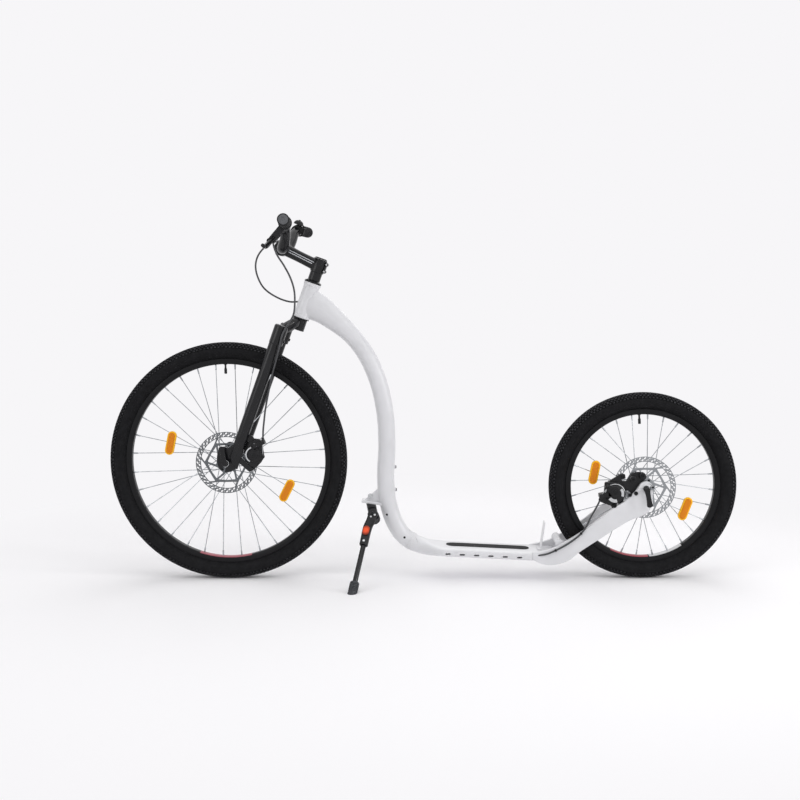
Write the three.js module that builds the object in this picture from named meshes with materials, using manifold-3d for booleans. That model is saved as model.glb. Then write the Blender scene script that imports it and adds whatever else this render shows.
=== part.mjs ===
// Kick bike: a footbike with a large front wheel, a low deck and a small rear wheel.
// Millimetres, +Z up. X runs rearwards and is measured from the front axle in here,
// Y runs to the rider's right, and the wheels stand on Z = 0.

import * as THREE from "three";
import Module from "manifold-3d";
import { mergeVertices } from "three/addons/utils/BufferGeometryUtils.js";

const wasm = await Module();
wasm.setup();

const degree = Math.PI / 180;
const quarterTurn = 90 * degree;
const fullTurn = 360 * degree;
const weldTolerance = 1e-4;

// Clearances shared by all pieces
const gap = 0.3;
const overrun = 6;

// Wheels and their places
const wheelbase = 1150;
const frontRadius = 331;
const rearRadius = 259;
const dropoutSpacing = 100;

// Tyre and rim, the same section on both wheels
const wheelFacets = 30;
const tyreWidth = 54;
const tyreHeight = 46;
const tyreWall = 3.5;
const treadDepth = 6;
const beadDepth = 6;
const beadThickness = 4;
const rimWidth = 26;
const rimLip = 2.6;
const rimDepth = 15;
const rimTrack = 9;
const rimFloor = 4;
const rimTaper = 4;
const valveRadius = 2.7;
const valveLength = 27;
const frontValveAngle = 91 * degree;
const rearValveAngle = 93 * degree;

// Hub, turned about the axle
const hubFacets = 12;
const hubBoreRadius = 5.6;
const hubBodyRadius = 11;
const flangeRadius = 24;
const flangeThickness = 3;
const flangeCone = 2.5;
const leftFlangeY = -24;
const rightFlangeY = 32;
const rotorSeatY = -38;
const rotorSeatRadius = 22.5;
const rotorSeatThickness = 4;
const hubNoseRadius = 15;
const hubHalfLength = 39.5;

// Spokes, laced over three crossings
const frontSpokes = { count: 32, phase: 6.7 * degree };
const rearSpokes = { count: 28, phase: -3.9 * degree };
const spokeCrossings = 3;
const spokeRadius = 1.25;
const spokeSides = 3;
const spokeCircle = 20.5;
const elbowOffset = 2.2;
const rimSpread = 2;

// Brake rotor
const rotorRadius = 85;
const rotorThickness = 2;
const rotorBoreRadius = 16.5;
const rotorTrackWidth = 14.5;
const rotorSpiderRadius = 38;
const rotorArms = 6;
const rotorArmShare = 0.2;
const rotorSwirl = 24 * degree;
const rotorFacets = 30;
const ventHoles = 9;
const ventRadius = 2.6;

// Spoke reflectors
const reflectorWidth = 25;
const reflectorLength = 67;
const reflectorThickness = 9;
const frontReflectors = [
  { radiusShare: 0.6266, angle: 161.7 * degree, lean: -9 * degree },
  { radiusShare: 0.6767, angle: -27.2 * degree, lean: -7 * degree },
];
const rearReflectors = [
  { radiusShare: 0.7006, angle: 164.5 * degree, lean: -6 * degree },
  { radiusShare: 0.6904, angle: -28.6 * degree, lean: -10 * degree },
];

// Steering axis: it leans back, and the front axle lies ahead of it
const rake = 20 * degree;
const forkOffset = 58;
const crownSeat = 441;
const headTubeLength = 106;

// Head tube and headset
const headTubeRadius = 22;
const headTubeWall = 3.1;
const headRingRadius = 24;
const headRingLength = 8;
const headFacets = 14;
const cupFlange = 2.5;
const cupSkirt = 10;
const cupWall = 1.5;
const bearingHeight = 7;
const steererRadius = 14.3;
const steererWall = 2.6;
const headsetCoverHeight = 5;
const spacerRadius = 17;
const spacerHeight = 22.4;

// Fork
const crownHeight = 32;
const crownBossRadius = 20;
const legLead = 35;
const legTopY = 65;
const legFootY = 61.5;
const legTopZ = 408;
const legFootZ = 56;
const legTopRadius = 15.5;
const legFootRadius = 11;
const socketRadius = 18.5;
const socketLength = 52;
const legCapHeight = 3;
const forkEndThickness = 8;
const forkEndRadius = 17;
const axleSlotRadius = 5.2;
const crownArmHalfHeight = 13;
const crownArmHalfDepth = 11;

// Main tube: its centre line in shares of the run and the drop from the head to the seam
const tubeRadius = 24;
const tubeWall = 2.6;
const seamX = 507;
const seamZ = 103;
const headJointRise = 440;
const tubeRunShares = [
  [0.0, 1.0], [0.14, 0.97], [0.277, 0.925], [0.44, 0.861], [0.587, 0.774], [0.696, 0.662],
  [0.757, 0.534], [0.771, 0.4], [0.757, 0.281], [0.771, 0.183], [0.828, 0.093], [0.913, 0.03],
  [1.0, 0.0],
];
const tubeFlareHeight = 45;
const tubeFlareShare = 0.2;
const tubeSides = 10;
const tubeSteps = 16;

// Deck: the tube spreads into a flat hollow beam. Its rear places count from the front of the rear tyre
const deckFrontShare = 0.25373;
const deckFrontZ = 81.7;
const deckRearAhead = 49;
const deckRearZ = 69;
const yokeRearBehind = 12;
const deckHalfWidth = 62;
const deckHalfHeight = 12.3;
const deckWall = 3;
const deckSides = 12;
const deckSteps = 12;
const slotCount = 6;
const slotLength = 14;
const slotHeight = 5;
const slotFirstShare = 0.08;
const slotLastShare = 0.872;
const gripHalfWidth = 30;
const gripThickness = 1.4;
const gripFrontShare = 0.064;
const gripRearShare = 0.96;

// Rear arms: outline in shares of the run to the axle and of the axle height
const armThickness = 12;
const armEndRadius = 19.5;
const armEndArc = 158 * degree;
const armLowerShares = [
  [0.0, 0.24], [0.065, 0.2], [0.14, 0.182], [0.227, 0.19], [0.334, 0.239], [0.409, 0.313],
  [0.584, 0.452], [0.87, 0.664], [0.99, 0.72], [1.04, 0.775], [1.06, 0.87],
];
const armUpperShares = [
  [0.903, 0.965], [0.831, 0.88], [0.705, 0.784], [0.513, 0.606], [0.422, 0.529],
  [0.295, 0.436], [0.205, 0.375], [0.091, 0.332], [0.0, 0.309],
];
const bridgeRadius = 11;
const bridgeBehind = 26;
const bridgeHeightShare = 0.401544;

// Heel guard in front of the rear tyre
const guardHalfWidth = 20;
const guardThickness = 2;
const guardFootAhead = 32;
const guardBendAhead = 21;
const guardTopAhead = 10;
const guardTopZ = 157;

// Bottle cage bosses on the rear of the main tube
const cageBossRadius = 6;
const cageBossProud = 3;
const cageBossUpperZ = 312;
const cageBossLowerZ = 248;

// Kickstand
const standBracketX = 371;
const standBracketZ = 221;
const standBracketDrop = 11;
const standBracketHalfWidth = 17;
const standBracketThickness = 7;
const standGussetTopZ = 253;
const standGussetThickness = 7;
const standPivot = [404, -42, 182];
const standFootCentre = [357.5, -177, 10];
const standFolded = [0.985, -0.17, 0.02];
const standHeadRadius = 16;
const standHeadDepth = 22;
const standNeckHalfWidth = 13;
const standEyeRadius = 14;
const standEyeDepth = 12;
const standBoltRadius = 6;
const standBoltHeight = 3;
const standLegHalfWidth = 13;
const standLegHalfDepth = 8.5;
const standLegTaperEnd = 10;
const standLegLength = 98;
const standRodRadius = 7;
const standRodInside = 38;
const standFootRadius = 14.5;
const standFootLength = 38;
const standFootSocket = 12;
const standButtonHalfWidth = 8;
const standButtonHalfLength = 12;
const standButtonPlace = 44;
const standButtonDepth = 6;
const standButtonProud = 4;
const standButtonTravel = 3;

// Stem and handlebar, in the steering frame
const stemReach = 109.4;
const stemRise = 11.4;
const stemClampRadius = 19;
const stemClampHeight = 38;
const stemHalfWidth = 16;
const stemHalfHeight = 15.5;
const barClampRadius = 21;
const barClampHalfWidth = 22;
const facePlateSplit = 2;
const topCapRadius = 17;
const topCapHeight = 4;
const pinchLugRadius = 5;
const pinchLugReach = 25;
const pinchLugHalfWidth = 14;
const pinchSpacing = 20;
const barRadius = 11.1;
const barCentreRadius = 15.9;
const barCentreHalf = 38;
const barTaperEnd = 100;
const barHalfWidth = 305;
const barRise = 69.3;
const barSweep = 16.5;
const barRunShares = [
  [0.0, 0.0, 0.0], [0.0, 0.1, 0.0], [-0.03, 0.17, 0.05], [-0.06, 0.255, 0.39], [0.0, 0.34, 0.74],
  [0.18, 0.435, 0.9], [0.43, 0.62, 0.947], [0.715, 0.81, 0.973], [1.0, 1.0, 1.0],
];
const barSides = 8;
const barSteps = 24;

// Grips, levers and bell
const handGripRadius = 15.5;
const handGripInner = 178;
const handGripEnd = 4;
const handGripFlange = 18;
const handGripFlangeLength = 5;
const perchPlace = 152;
const perchHalfWidth = 8;
const perchClampRadius = 15.5;
const perchArmRadius = 10;
const leverTilt = 249.6 * degree;
const leverPivotReach = 48;
const leverEyeRadius = 6.5;
const leverEyeWidth = 7;
const leverPinRadius = 2;
const leverPinLength = 19;
const leverBladeHalfWidth = 5.5;
const leverBladeHalfHeight = 4.2;
const leverRunShares = [[0, 0], [0.1, 0.5], [0.27, 0.88], [0.55, 1.0], [0.8, 1.0], [1.0, 0.86]];
const leverLength = 118;
const leverDrop = 31;
const barrelRadius = 4.5;
const barrelLength = 18;
const barrelReach = 40;
const bellPlace = 122;
const bellHalfWidth = 5;
const bellRadius = 14;
const bellHeight = 13;
const bellWall = 1.4;
const bellLift = 17;
const bellStalkRadius = 4;
const strikerReach = 21;
const strikerRadius = 3.5;
const strikerThickness = 2.5;

// Axle sets
const axleRadius = 4.8;
const axleNutRadius = 8;
const axleNutInner = 41;
const skewerCollarRadius = 8.5;
const skewerCollarLength = 7;
const skewerNutRadius = 9;
const skewerNutLength = 9;
const axleFacets = 8;
const releaseLength = 50;
const releaseRadius = 6.5;
const releaseCamRadius = 6;
const releaseBlade = 5.5;
const frontReleaseAngle = 99 * degree;
const rearReleaseAngle = -80 * degree;

// Brake calipers, laid out by radius from the axle and length along the rotor edge
const frontCaliperAngle = 19.3 * degree;
const rearCaliperAngle = 185.4 * degree;
const caliperRadius = 80;
const caliperInnerY = -27;
const caliperSlotHalf = 3;
const caliperDepth = 36;
const caliperLength = 70;
const caliperEarSize = 14;
const caliperLowEar = [58, -37];
const caliperHighEar = [88, 42];
const caliperBossRadius = 20;
const caliperBossLength = 14;
const caliperStop = [122, 16];
const caliperStopHalf = 5;
const cableLean = 25 * degree;
const caliperStopDepth = 20;
const ferruleRadius = 4;
const ferruleLength = 7;
const brakeArmTip = [115, -14];
const brakeArmHubRadius = 14;
const brakeArmTipRadius = 6;
const brakeArmThickness = 6;
const anchorRadius = 5;
const anchorLength = 11;
const tabRadius = 9;

// Cables, routes chosen by hand
const cableRadius = 2.5;
const cableSides = 8;
const rearLoopSteps = 20;
const rearRunSteps = 36;
const frontRunSteps = 24;
const cableEndRun = 14;

// Colours
const paintWhite = { color: 0xe9eaec, roughness: 0.35, metalness: 0.1 };
const blackAlloy = { color: 0x17181a, roughness: 0.4, metalness: 0.5 };
const blackPlastic = { color: 0x1b1b1d, roughness: 0.6, metalness: 0 };
const blackRubber = { color: 0x141415, roughness: 0.85, metalness: 0 };
const greyRubber = { color: 0x3a3b3d, roughness: 0.8, metalness: 0 };
const steel = { color: 0xb9bcc0, roughness: 0.3, metalness: 1 };
const amber = { color: 0xf08a12, roughness: 0.25, metalness: 0 };
const buttonRed = { color: 0xd8432c, roughness: 0.45, metalness: 0 };

// Derived places
const headTubeTop = crownSeat + headTubeLength;
const frontAxle = new THREE.Vector3(0, 0, frontRadius);
const rearAxle = new THREE.Vector3(wheelbase, 0, rearRadius);
const steeringFoot = new THREE.Vector3(
  frontAxle.x + forkOffset * Math.cos(rake), 0, frontAxle.z - forkOffset * Math.sin(rake));
const steeringTurn = new THREE.Matrix4().makeRotationY(rake).setPosition(steeringFoot);
const dropoutInner = dropoutSpacing / 2;
const headJointZ = frontRadius + headJointRise;
const headJointX = steeringFoot.x + (headJointZ - steeringFoot.z) * Math.tan(rake);
const rearTyreFront = wheelbase - rearRadius;
const deckRearX = rearTyreFront - deckRearAhead;
const yokeRearX = rearTyreFront + yokeRearBehind;
const deckFrontX = seamX + deckFrontShare * (deckRearX - seamX);
const bridgeX = rearTyreFront + bridgeBehind;
const bridgeZ = bridgeHeightShare * rearRadius;
const guardFootX = rearTyreFront - guardFootAhead;
const guardBendX = rearTyreFront - guardBendAhead;
const guardTopX = rearTyreFront - guardTopAhead;
const coverTop = headTubeTop + gap + headsetCoverHeight;
const stemBottom = coverTop + gap + spacerHeight + gap;
const stemTop = stemBottom + stemClampHeight;
const stemMiddle = (stemBottom + stemTop) / 2;
const barCentre = new THREE.Vector3(-stemReach, 0, stemMiddle + stemRise);
const rotorMiddleY = rotorSeatY - gap - rotorThickness / 2;

// Turns a geometry into one closed body with merged corners and faces pointing out
function closed(geometry) {
  const bare = geometry.index ? geometry.toNonIndexed() : geometry.clone();
  bare.deleteAttribute("normal");
  bare.deleteAttribute("uv");
  const merged = mergeVertices(bare, weldTolerance);
  const corners = merged.index.array;
  const at = merged.attributes.position;
  const kept = [];
  let volume = 0;
  for (let i = 0; i < corners.length; i += 3) {
    const [a, b, c] = [corners[i], corners[i + 1], corners[i + 2]];
    if (a === b || b === c || a === c) continue;
    kept.push(a, b, c);
    const p = new THREE.Vector3().fromBufferAttribute(at, a);
    const q = new THREE.Vector3().fromBufferAttribute(at, b);
    const r = new THREE.Vector3().fromBufferAttribute(at, c);
    volume += p.dot(q.cross(r));
  }
  if (volume < 0) kept.reverse();
  merged.setIndex(kept);
  return merged;
}

// A closed geometry as a solid that can be joined and cut
function solid(geometry) {
  const body = closed(geometry);
  const vertProperties = new Float32Array(body.attributes.position.array);
  const triVerts = new Uint32Array(body.index.array);
  return new wasm.Manifold(new wasm.Mesh({ numProp: 3, vertProperties, triVerts }));
}

// A solid back as a geometry
function surface(body) {
  const mesh = body.getMesh();
  const geometry = new THREE.BufferGeometry();
  geometry.setAttribute("position", new THREE.BufferAttribute(new Float32Array(mesh.vertProperties), 3));
  geometry.setIndex(new THREE.BufferAttribute(new Uint32Array(mesh.triVerts), 1));
  return geometry;
}

function joined(first, ...others) {
  return surface(others.reduce((sum, next) => sum.add(solid(next)), solid(first)));
}

function cut(target, ...tools) {
  return surface(tools.reduce((rest, tool) => rest.subtract(solid(tool)), solid(target)));
}

function common(first, second) {
  return surface(solid(first).intersect(solid(second)));
}

// A flat plate: an outline in X and Z, thick from one Y to another
function plate(points, fromY, toY) {
  const shape = new THREE.Shape(points.map(([x, z]) => new THREE.Vector2(x, z)));
  const depth = Math.abs(toY - fromY);
  const body = new THREE.ExtrudeGeometry(shape, { depth, bevelEnabled: false });
  return body.rotateX(quarterTurn).translate(0, Math.max(fromY, toY), 0);
}

// A turned piece about the Y axis from pairs of radius and place along Y
function drum(profile, facets, start = 0) {
  const points = profile.map(([radius, y]) => new THREE.Vector2(radius, y));
  return new THREE.LatheGeometry(points, facets, start);
}

// A turned piece about the Z axis from pairs of radius and height
function post(profile, facets) {
  return drum(profile, facets).rotateX(quarterTurn);
}

function ringProfile(inner, outer, from, to) {
  return [[inner, from], [outer, from], [outer, to], [inner, to], [inner, from]];
}

// Moves a piece made along +Y so that it starts at one point and runs towards another
function aimed(geometry, from, to) {
  const along = new THREE.Vector3().subVectors(to, from).normalize();
  const turn = new THREE.Quaternion().setFromUnitVectors(new THREE.Vector3(0, 1, 0), along);
  return geometry.applyQuaternion(turn).translate(from.x, from.y, from.z);
}

function rod(from, to, radius, sides, endRadius = radius) {
  const length = from.distanceTo(to);
  const body = new THREE.CylinderGeometry(endRadius, radius, length, sides).translate(0, length / 2, 0);
  return aimed(body, from, to);
}

function block(from, to) {
  const size = new THREE.Vector3().subVectors(to, from);
  const middle = new THREE.Vector3().addVectors(from, to).multiplyScalar(0.5);
  return new THREE.BoxGeometry(size.x, size.y, size.z).translate(middle.x, middle.y, middle.z);
}

function mirrored(geometry) {
  return closed(geometry.clone().scale(1, -1, 1));
}

// Points round an arc, angles measured from X towards Z
function arc(x, z, radius, from, to, steps) {
  const shares = Array.from({ length: steps + 1 }, (_, i) => i / steps);
  return shares.map((share) => {
    const angle = from + (to - from) * share;
    return [x + radius * Math.cos(angle), z + radius * Math.sin(angle)];
  });
}

// The outline round two discs joined by their tangents
function link([ax, az], aRadius, [bx, bz], bRadius, steps = 5) {
  const reach = Math.hypot(bx - ax, bz - az);
  const heading = Math.atan2(bz - az, bx - ax);
  const flank = Math.acos((aRadius - bRadius) / reach);
  return [
    ...arc(ax, az, aRadius, heading + flank, heading + fullTurn - flank, steps),
    ...arc(bx, bz, bRadius, heading - flank, heading + flank, steps),
  ];
}

// A skin of rings along a path, each ring a rounded rectangle or an ellipse
function loft(path, steps, sides, sectionAt) {
  const frames = path.computeFrenetFrames(steps, false);
  const positions = [];
  for (let i = 0; i <= steps; i += 1) {
    const { wide, tall, square } = sectionAt(i / steps, path.getPointAt(i / steps));
    const centre = path.getPointAt(i / steps);
    for (let k = 0; k < sides; k += 1) {
      const angle = (fullTurn * k) / sides;
      const across = Math.sign(Math.cos(angle)) * Math.abs(Math.cos(angle)) ** (2 / square);
      const over = Math.sign(Math.sin(angle)) * Math.abs(Math.sin(angle)) ** (2 / square);
      const corner = centre.clone().addScaledVector(frames.normals[i], wide * across);
      corner.addScaledVector(frames.binormals[i], tall * over);
      positions.push(...corner.toArray());
    }
  }
  const first = path.getPointAt(0);
  const last = path.getPointAt(1);
  positions.push(...first.toArray(), ...last.toArray());
  return skinned(positions, steps, sides);
}

// Joins rings of corners into a skin with a fan over each end
function skinned(positions, steps, sides) {
  const firstCentre = (steps + 1) * sides;
  const faces = [];
  for (let k = 0; k < sides; k += 1) {
    const next = (k + 1) % sides;
    for (let i = 0; i < steps; i += 1) {
      const [low, high] = [i * sides, (i + 1) * sides];
      faces.push(low + k, low + next, high + next, low + k, high + next, high + k);
    }
    faces.push(firstCentre, next, k);
    faces.push(firstCentre + 1, steps * sides + k, steps * sides + next);
  }
  const geometry = new THREE.BufferGeometry();
  geometry.setAttribute("position", new THREE.Float32BufferAttribute(positions, 3));
  geometry.setIndex(faces);
  return geometry;
}

function curveThrough(points) {
  return new THREE.CatmullRomCurve3(points.map((p) => new THREE.Vector3(...p)), false, "centripetal");
}

// A cable housing: a round section carried along its route
function cable(points, steps, extra = 0) {
  const section = new THREE.Shape();
  section.absarc(0, 0, cableRadius + extra, 0, fullTurn);
  const corners = section.getSpacedPoints(cableSides).slice(0, cableSides);
  const options = { steps, bevelEnabled: false, extrudePath: curveThrough(points) };
  return new THREE.ExtrudeGeometry(new THREE.Shape(corners), options);
}

function piece(group, name, geometry, look) {
  const mesh = new THREE.Mesh(closed(geometry), new THREE.MeshStandardMaterial(look));
  mesh.name = name;
  group.add(mesh);
  return mesh;
}

// Wheel pieces, all centred on the axle

// The flats of the faceted ring touch the true radius, and one flat lies on the ground
function wheelRing(profile) {
  const outward = 1 / Math.cos(Math.PI / wheelFacets);
  const shares = profile.map(([radius, y]) => [radius * outward, y]);
  return drum(shares, wheelFacets, Math.PI / wheelFacets);
}

function tyre(radius) {
  const seat = radius - tyreHeight;
  const half = tyreWidth / 2;
  const outerBead = rimWidth / 2 - rimLip - gap;
  const innerBead = outerBead - beadThickness;
  const innerHalf = half - tyreWall;
  const innerHeight = tyreHeight - treadDepth;
  const outside = [
    [-beadDepth, outerBead], [gap, outerBead], [tyreHeight * 0.3, half * 0.92],
    [tyreHeight * 0.58, half], [tyreHeight * 0.88, half * 0.8], [tyreHeight, half * 0.38],
  ];
  const inside = [
    [innerHeight, innerHalf * 0.5], [innerHeight * 0.5, innerHalf], [-beadDepth, innerBead],
  ];
  const flip = ([height, y]) => [height, -y];
  const loop = [...outside, ...outside.toReversed().map(flip), ...inside.toReversed().map(flip), ...inside];
  const profile = [...loop, loop[0]].map(([height, y]) => [seat + height, y]);
  return wheelRing(profile);
}

function rim(radius, valveAngle) {
  const seat = radius - tyreHeight;
  const half = rimWidth / 2;
  const right = [[0, half], [-rimTrack, half], [-rimDepth, half - rimTaper]];
  const flip = ([height, y]) => [height, -y];
  const well = [[0, half - rimLip], [rimFloor - rimDepth, half - rimLip]];
  const loop = [...right, ...right.toReversed().map(flip), ...well.map(flip), ...well.toReversed()];
  const ring = wheelRing([...loop, loop[0]].map(([height, y]) => [seat + height, y]));
  const out = new THREE.Vector3(Math.cos(valveAngle), 0, Math.sin(valveAngle));
  const valve = rod(
    out.clone().multiplyScalar(seat - rimDepth - valveLength),
    out.clone().multiplyScalar(seat - rimDepth + rimFloor / 2), valveRadius, hubFacets / 2);
  return joined(ring, valve);
}

function hubShell() {
  const profile = [
    [hubBoreRadius, -hubHalfLength], [hubNoseRadius, -hubHalfLength], [hubNoseRadius, rotorSeatY],
    [rotorSeatRadius, rotorSeatY], [rotorSeatRadius, rotorSeatY + rotorSeatThickness],
    [hubBodyRadius, leftFlangeY - flangeThickness / 2 - flangeCone],
    [flangeRadius, leftFlangeY - flangeThickness / 2], [flangeRadius, leftFlangeY + flangeThickness / 2],
    [hubBodyRadius, leftFlangeY + flangeThickness / 2 + flangeCone],
    [hubBodyRadius, rightFlangeY - flangeThickness / 2 - flangeCone],
    [flangeRadius, rightFlangeY - flangeThickness / 2], [flangeRadius, rightFlangeY + flangeThickness / 2],
    [hubBodyRadius, rightFlangeY + flangeThickness / 2 + flangeCone],
    [hubBodyRadius, hubHalfLength], [hubBoreRadius, hubHalfLength], [hubBoreRadius, -hubHalfLength],
  ];
  return drum(profile, hubFacets);
}

// Ends of each spoke: a hole in a flange and a place on the rim, turned by the crossings
function spokeEnds(radius, { count, phase }) {
  const holeStep = (2 * fullTurn) / count;
  const lace = spokeCrossings * holeStep;
  const seat = radius - tyreHeight - rimDepth - gap;
  const ends = [];
  for (const [flangeY, side] of [[leftFlangeY, -1], [rightFlangeY, 1]]) {
    const shift = side > 0 ? holeStep / 2 : 0;
    for (let i = 0; i < count / 2; i += 1) {
      const hand = i % 2 ? -1 : 1;
      const hubAngle = phase + i * holeStep + shift;
      const rimAngle = hubAngle + hand * lace;
      const hubY = flangeY + hand * elbowOffset;
      ends.push([
        new THREE.Vector3(spokeCircle * Math.cos(hubAngle), hubY, spokeCircle * Math.sin(hubAngle)),
        new THREE.Vector3(seat * Math.cos(rimAngle), side * rimSpread, seat * Math.sin(rimAngle)),
      ]);
    }
  }
  return ends;
}

function spokedHub(radius, lacing) {
  const spokes = spokeEnds(radius, lacing).map(([from, to]) => rod(from, to, spokeRadius, spokeSides));
  return joined(hubShell(), ...spokes);
}

// A disc with a holed braking track, swept arms and an open spider
function rotor() {
  const disc = new THREE.Shape();
  disc.setFromPoints(roundPoints(0, 0, rotorRadius, rotorFacets));
  disc.holes.push(new THREE.Path(roundPoints(0, 0, rotorBoreRadius, hubFacets)));
  for (let i = 0; i < rotorArms; i += 1) {
    disc.holes.push(new THREE.Path(rotorWindow((i * fullTurn) / rotorArms)));
  }
  for (let i = 0; i < ventHoles; i += 1) {
    const angle = (i * fullTurn) / ventHoles;
    const radius = rotorRadius - rotorTrackWidth * (i % 2 ? 0.3 : 0.62);
    const [x, z] = [radius * Math.cos(angle), radius * Math.sin(angle)];
    disc.holes.push(new THREE.Path(roundPoints(x, z, ventRadius, 4)));
  }
  const body = new THREE.ExtrudeGeometry(disc, { depth: rotorThickness, bevelEnabled: false });
  return body.rotateX(quarterTurn).translate(0, rotorSeatY - gap, 0);
}

function roundPoints(x, z, radius, count) {
  return arc(x, z, radius, 0, fullTurn, count).slice(0, count).map(([u, v]) => new THREE.Vector2(u, v));
}

// One opening between two arms of the rotor: two arcs, the outer one swept round
function rotorWindow(start) {
  const pitch = fullTurn / rotorArms;
  const margin = (pitch * rotorArmShare) / 2;
  const outer = rotorRadius - rotorTrackWidth;
  const middle = (outer + rotorSpiderRadius) / 2;
  const inner = arc(0, 0, rotorSpiderRadius, start + margin * 1.5, start + pitch - margin * 1.5, 2);
  const bend = (angle) => arc(0, 0, middle, angle, angle, 1).slice(0, 1);
  const far = arc(0, 0, outer, start + pitch - margin + rotorSwirl, start + margin + rotorSwirl, 4);
  const lead = bend(start + pitch - margin + rotorSwirl * 0.35);
  const trail = bend(start + margin + rotorSwirl * 0.35);
  return [...inner, ...lead, ...far, ...trail].map(([u, v]) => new THREE.Vector2(u, v));
}

// A reflector sits on the left spokes, which pass through it
function reflector(place, radius, lacing) {
  const half = reflectorWidth / 2;
  const reach = reflectorLength / 2 - half;
  const spokes = spokeEnds(radius, lacing).filter(([from]) => from.y < 0);
  const seat = spokes[0][1].length();
  const reachOut = place.radiusShare * seat;
  const y = THREE.MathUtils.mapLinear(reachOut, spokeCircle, seat, leftFlangeY, -rimSpread);
  const outline = link([0, -reach], half, [0, reach], half, 4);
  const body = plate(outline, y - reflectorThickness / 2, y + reflectorThickness / 2);
  body.rotateY(-(place.angle + place.lean));
  const centre = new THREE.Vector3(reachOut * Math.cos(place.angle), y, reachOut * Math.sin(place.angle));
  body.translate(centre.x, 0, centre.z);
  const grooves = spokes
    .filter(([from, to]) => new THREE.Line3(from, to)
      .closestPointToPoint(centre, true, new THREE.Vector3()).distanceTo(centre) < reflectorLength / 2)
    .map(([from, to]) => rod(from, to, spokeRadius + gap, spokeSides * 2));
  return cut(body, ...grooves);
}

function wheel(group, side, radius, lacing, valveAngle, reflectors) {
  piece(group, `${side}_tyre`, tyre(radius), blackRubber);
  piece(group, `${side}_rim`, rim(radius, valveAngle), blackAlloy);
  piece(group, `${side}_hub_and_spokes`, spokedHub(radius, lacing), steel);
  piece(group, `${side}_brake_rotor`, rotor(), steel);
  reflectors.forEach((place, i) => {
    piece(group, `${side}_reflector_${i + 1}`, reflector(place, radius, lacing), amber);
  });
}

// Axle with its locknuts, the skewer collar on the left and its nut on the right
function axleSet(dropoutThickness) {
  const face = dropoutInner + dropoutThickness + gap;
  const inner = dropoutInner - gap;
  const profile = [
    [0, -face - skewerCollarLength], [skewerCollarRadius, -face - skewerCollarLength],
    [skewerCollarRadius, -face], [axleRadius, -face], [axleRadius, -inner], [axleNutRadius, -inner],
    [axleNutRadius, -axleNutInner], [axleRadius, -axleNutInner], [axleRadius, axleNutInner],
    [axleNutRadius, axleNutInner], [axleNutRadius, inner], [axleRadius, inner], [axleRadius, face],
    [skewerNutRadius, face], [skewerNutRadius, face + skewerNutLength], [0, face + skewerNutLength],
  ];
  return drum(profile, axleFacets);
}

function releaseY(dropoutThickness) {
  return -(dropoutInner + dropoutThickness + gap + skewerCollarLength + gap + releaseCamRadius);
}

// Lever of the quick release: a cam across the skewer and a flat blade
function releaseLever(angle) {
  const across = new THREE.Vector3(releaseRadius, 0, 0);
  const cam = rod(across.clone().negate(), across, releaseCamRadius, axleFacets);
  const blade = plate(link([0, releaseRadius], releaseRadius, [0, releaseLength], releaseRadius, 4), -releaseBlade, 0);
  return closed(joined(cam, blade)).rotateY(quarterTurn - angle);
}

// A place on the leaning line of the cable stop, at a distance from the stop's middle
function alongStop(distance) {
  const [x, z] = caliperStop;
  return [x + distance * Math.sin(cableLean), z + distance * Math.cos(cableLean)];
}

// Caliper in its own frame: X is the radius from the axle, Z runs along the rotor edge
function caliperBody() {
  const outerY = -(dropoutInner - gap);
  const half = caliperLength / 2;
  const inX = caliperRadius - caliperDepth / 2;
  const outX = caliperRadius + caliperDepth / 2;
  const ear = caliperEarSize / 2;
  const [lowX, lowZ] = caliperLowEar;
  const [highX, highZ] = caliperHighEar;
  const outline = [
    [inX, lowZ + ear], [lowX - ear, lowZ + ear], [lowX - ear, lowZ - ear], [lowX + ear, lowZ - ear],
    [outX, -half + ear], [outX, half - ear], [highX + ear, highZ + ear], [highX - ear, highZ + ear],
    [highX - ear, half], [inX, half],
  ];
  const shell = plate(outline, outerY, caliperInnerY);
  const slot = rod(
    new THREE.Vector3(0, rotorMiddleY - caliperSlotHalf, 0),
    new THREE.Vector3(0, rotorMiddleY + caliperSlotHalf, 0), rotorRadius + caliperSlotHalf, rotorFacets);
  const boss = rod(
    new THREE.Vector3(caliperRadius, outerY + overrun, 0),
    new THREE.Vector3(caliperRadius, outerY - caliperBossLength, 0), caliperBossRadius, hubFacets);
  const [stopX, stopZ] = caliperStop;
  const stopOutline = (fromX) => [
    [fromX, stopZ - caliperStopHalf], [stopX + caliperStopHalf, stopZ - caliperStopHalf],
    [stopX + caliperStopHalf, stopZ + caliperStopHalf], [fromX, stopZ + caliperStopHalf],
  ];
  const stopY = outerY - caliperBossLength - brakeArmThickness / 2 - gap;
  const bossY = outerY - caliperBossLength;
  const arm = plate(stopOutline(outX - overrun), bossY, bossY + caliperStopDepth);
  const block = plate(stopOutline(stopX - caliperStopHalf), stopY - caliperStopHalf, bossY + overrun);
  const [endX, endZ] = alongStop(caliperStopHalf + ferruleLength);
  const ferrule = rod(new THREE.Vector3(stopX, stopY, stopZ), new THREE.Vector3(endX, stopY, endZ),
    ferruleRadius, cableSides);
  return joined(cut(shell, slot), boss, arm, block, ferrule);
}

function brakeArm() {
  const face = -(dropoutInner - gap) - caliperBossLength - gap;
  const outline = link([caliperRadius, 0], brakeArmHubRadius, brakeArmTip, brakeArmTipRadius);
  const [tipX, tipZ] = brakeArmTip;
  const anchor = rod(
    new THREE.Vector3(tipX, face + gap, tipZ),
    new THREE.Vector3(tipX, face - anchorLength, tipZ), anchorRadius, cableSides);
  return joined(plate(outline, face - brakeArmThickness, face), anchor);
}

// Steering pieces, in a frame whose Z is the steering axis

function steererPoint(x, y, z) {
  return new THREE.Vector3(x, y, z);
}

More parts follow.
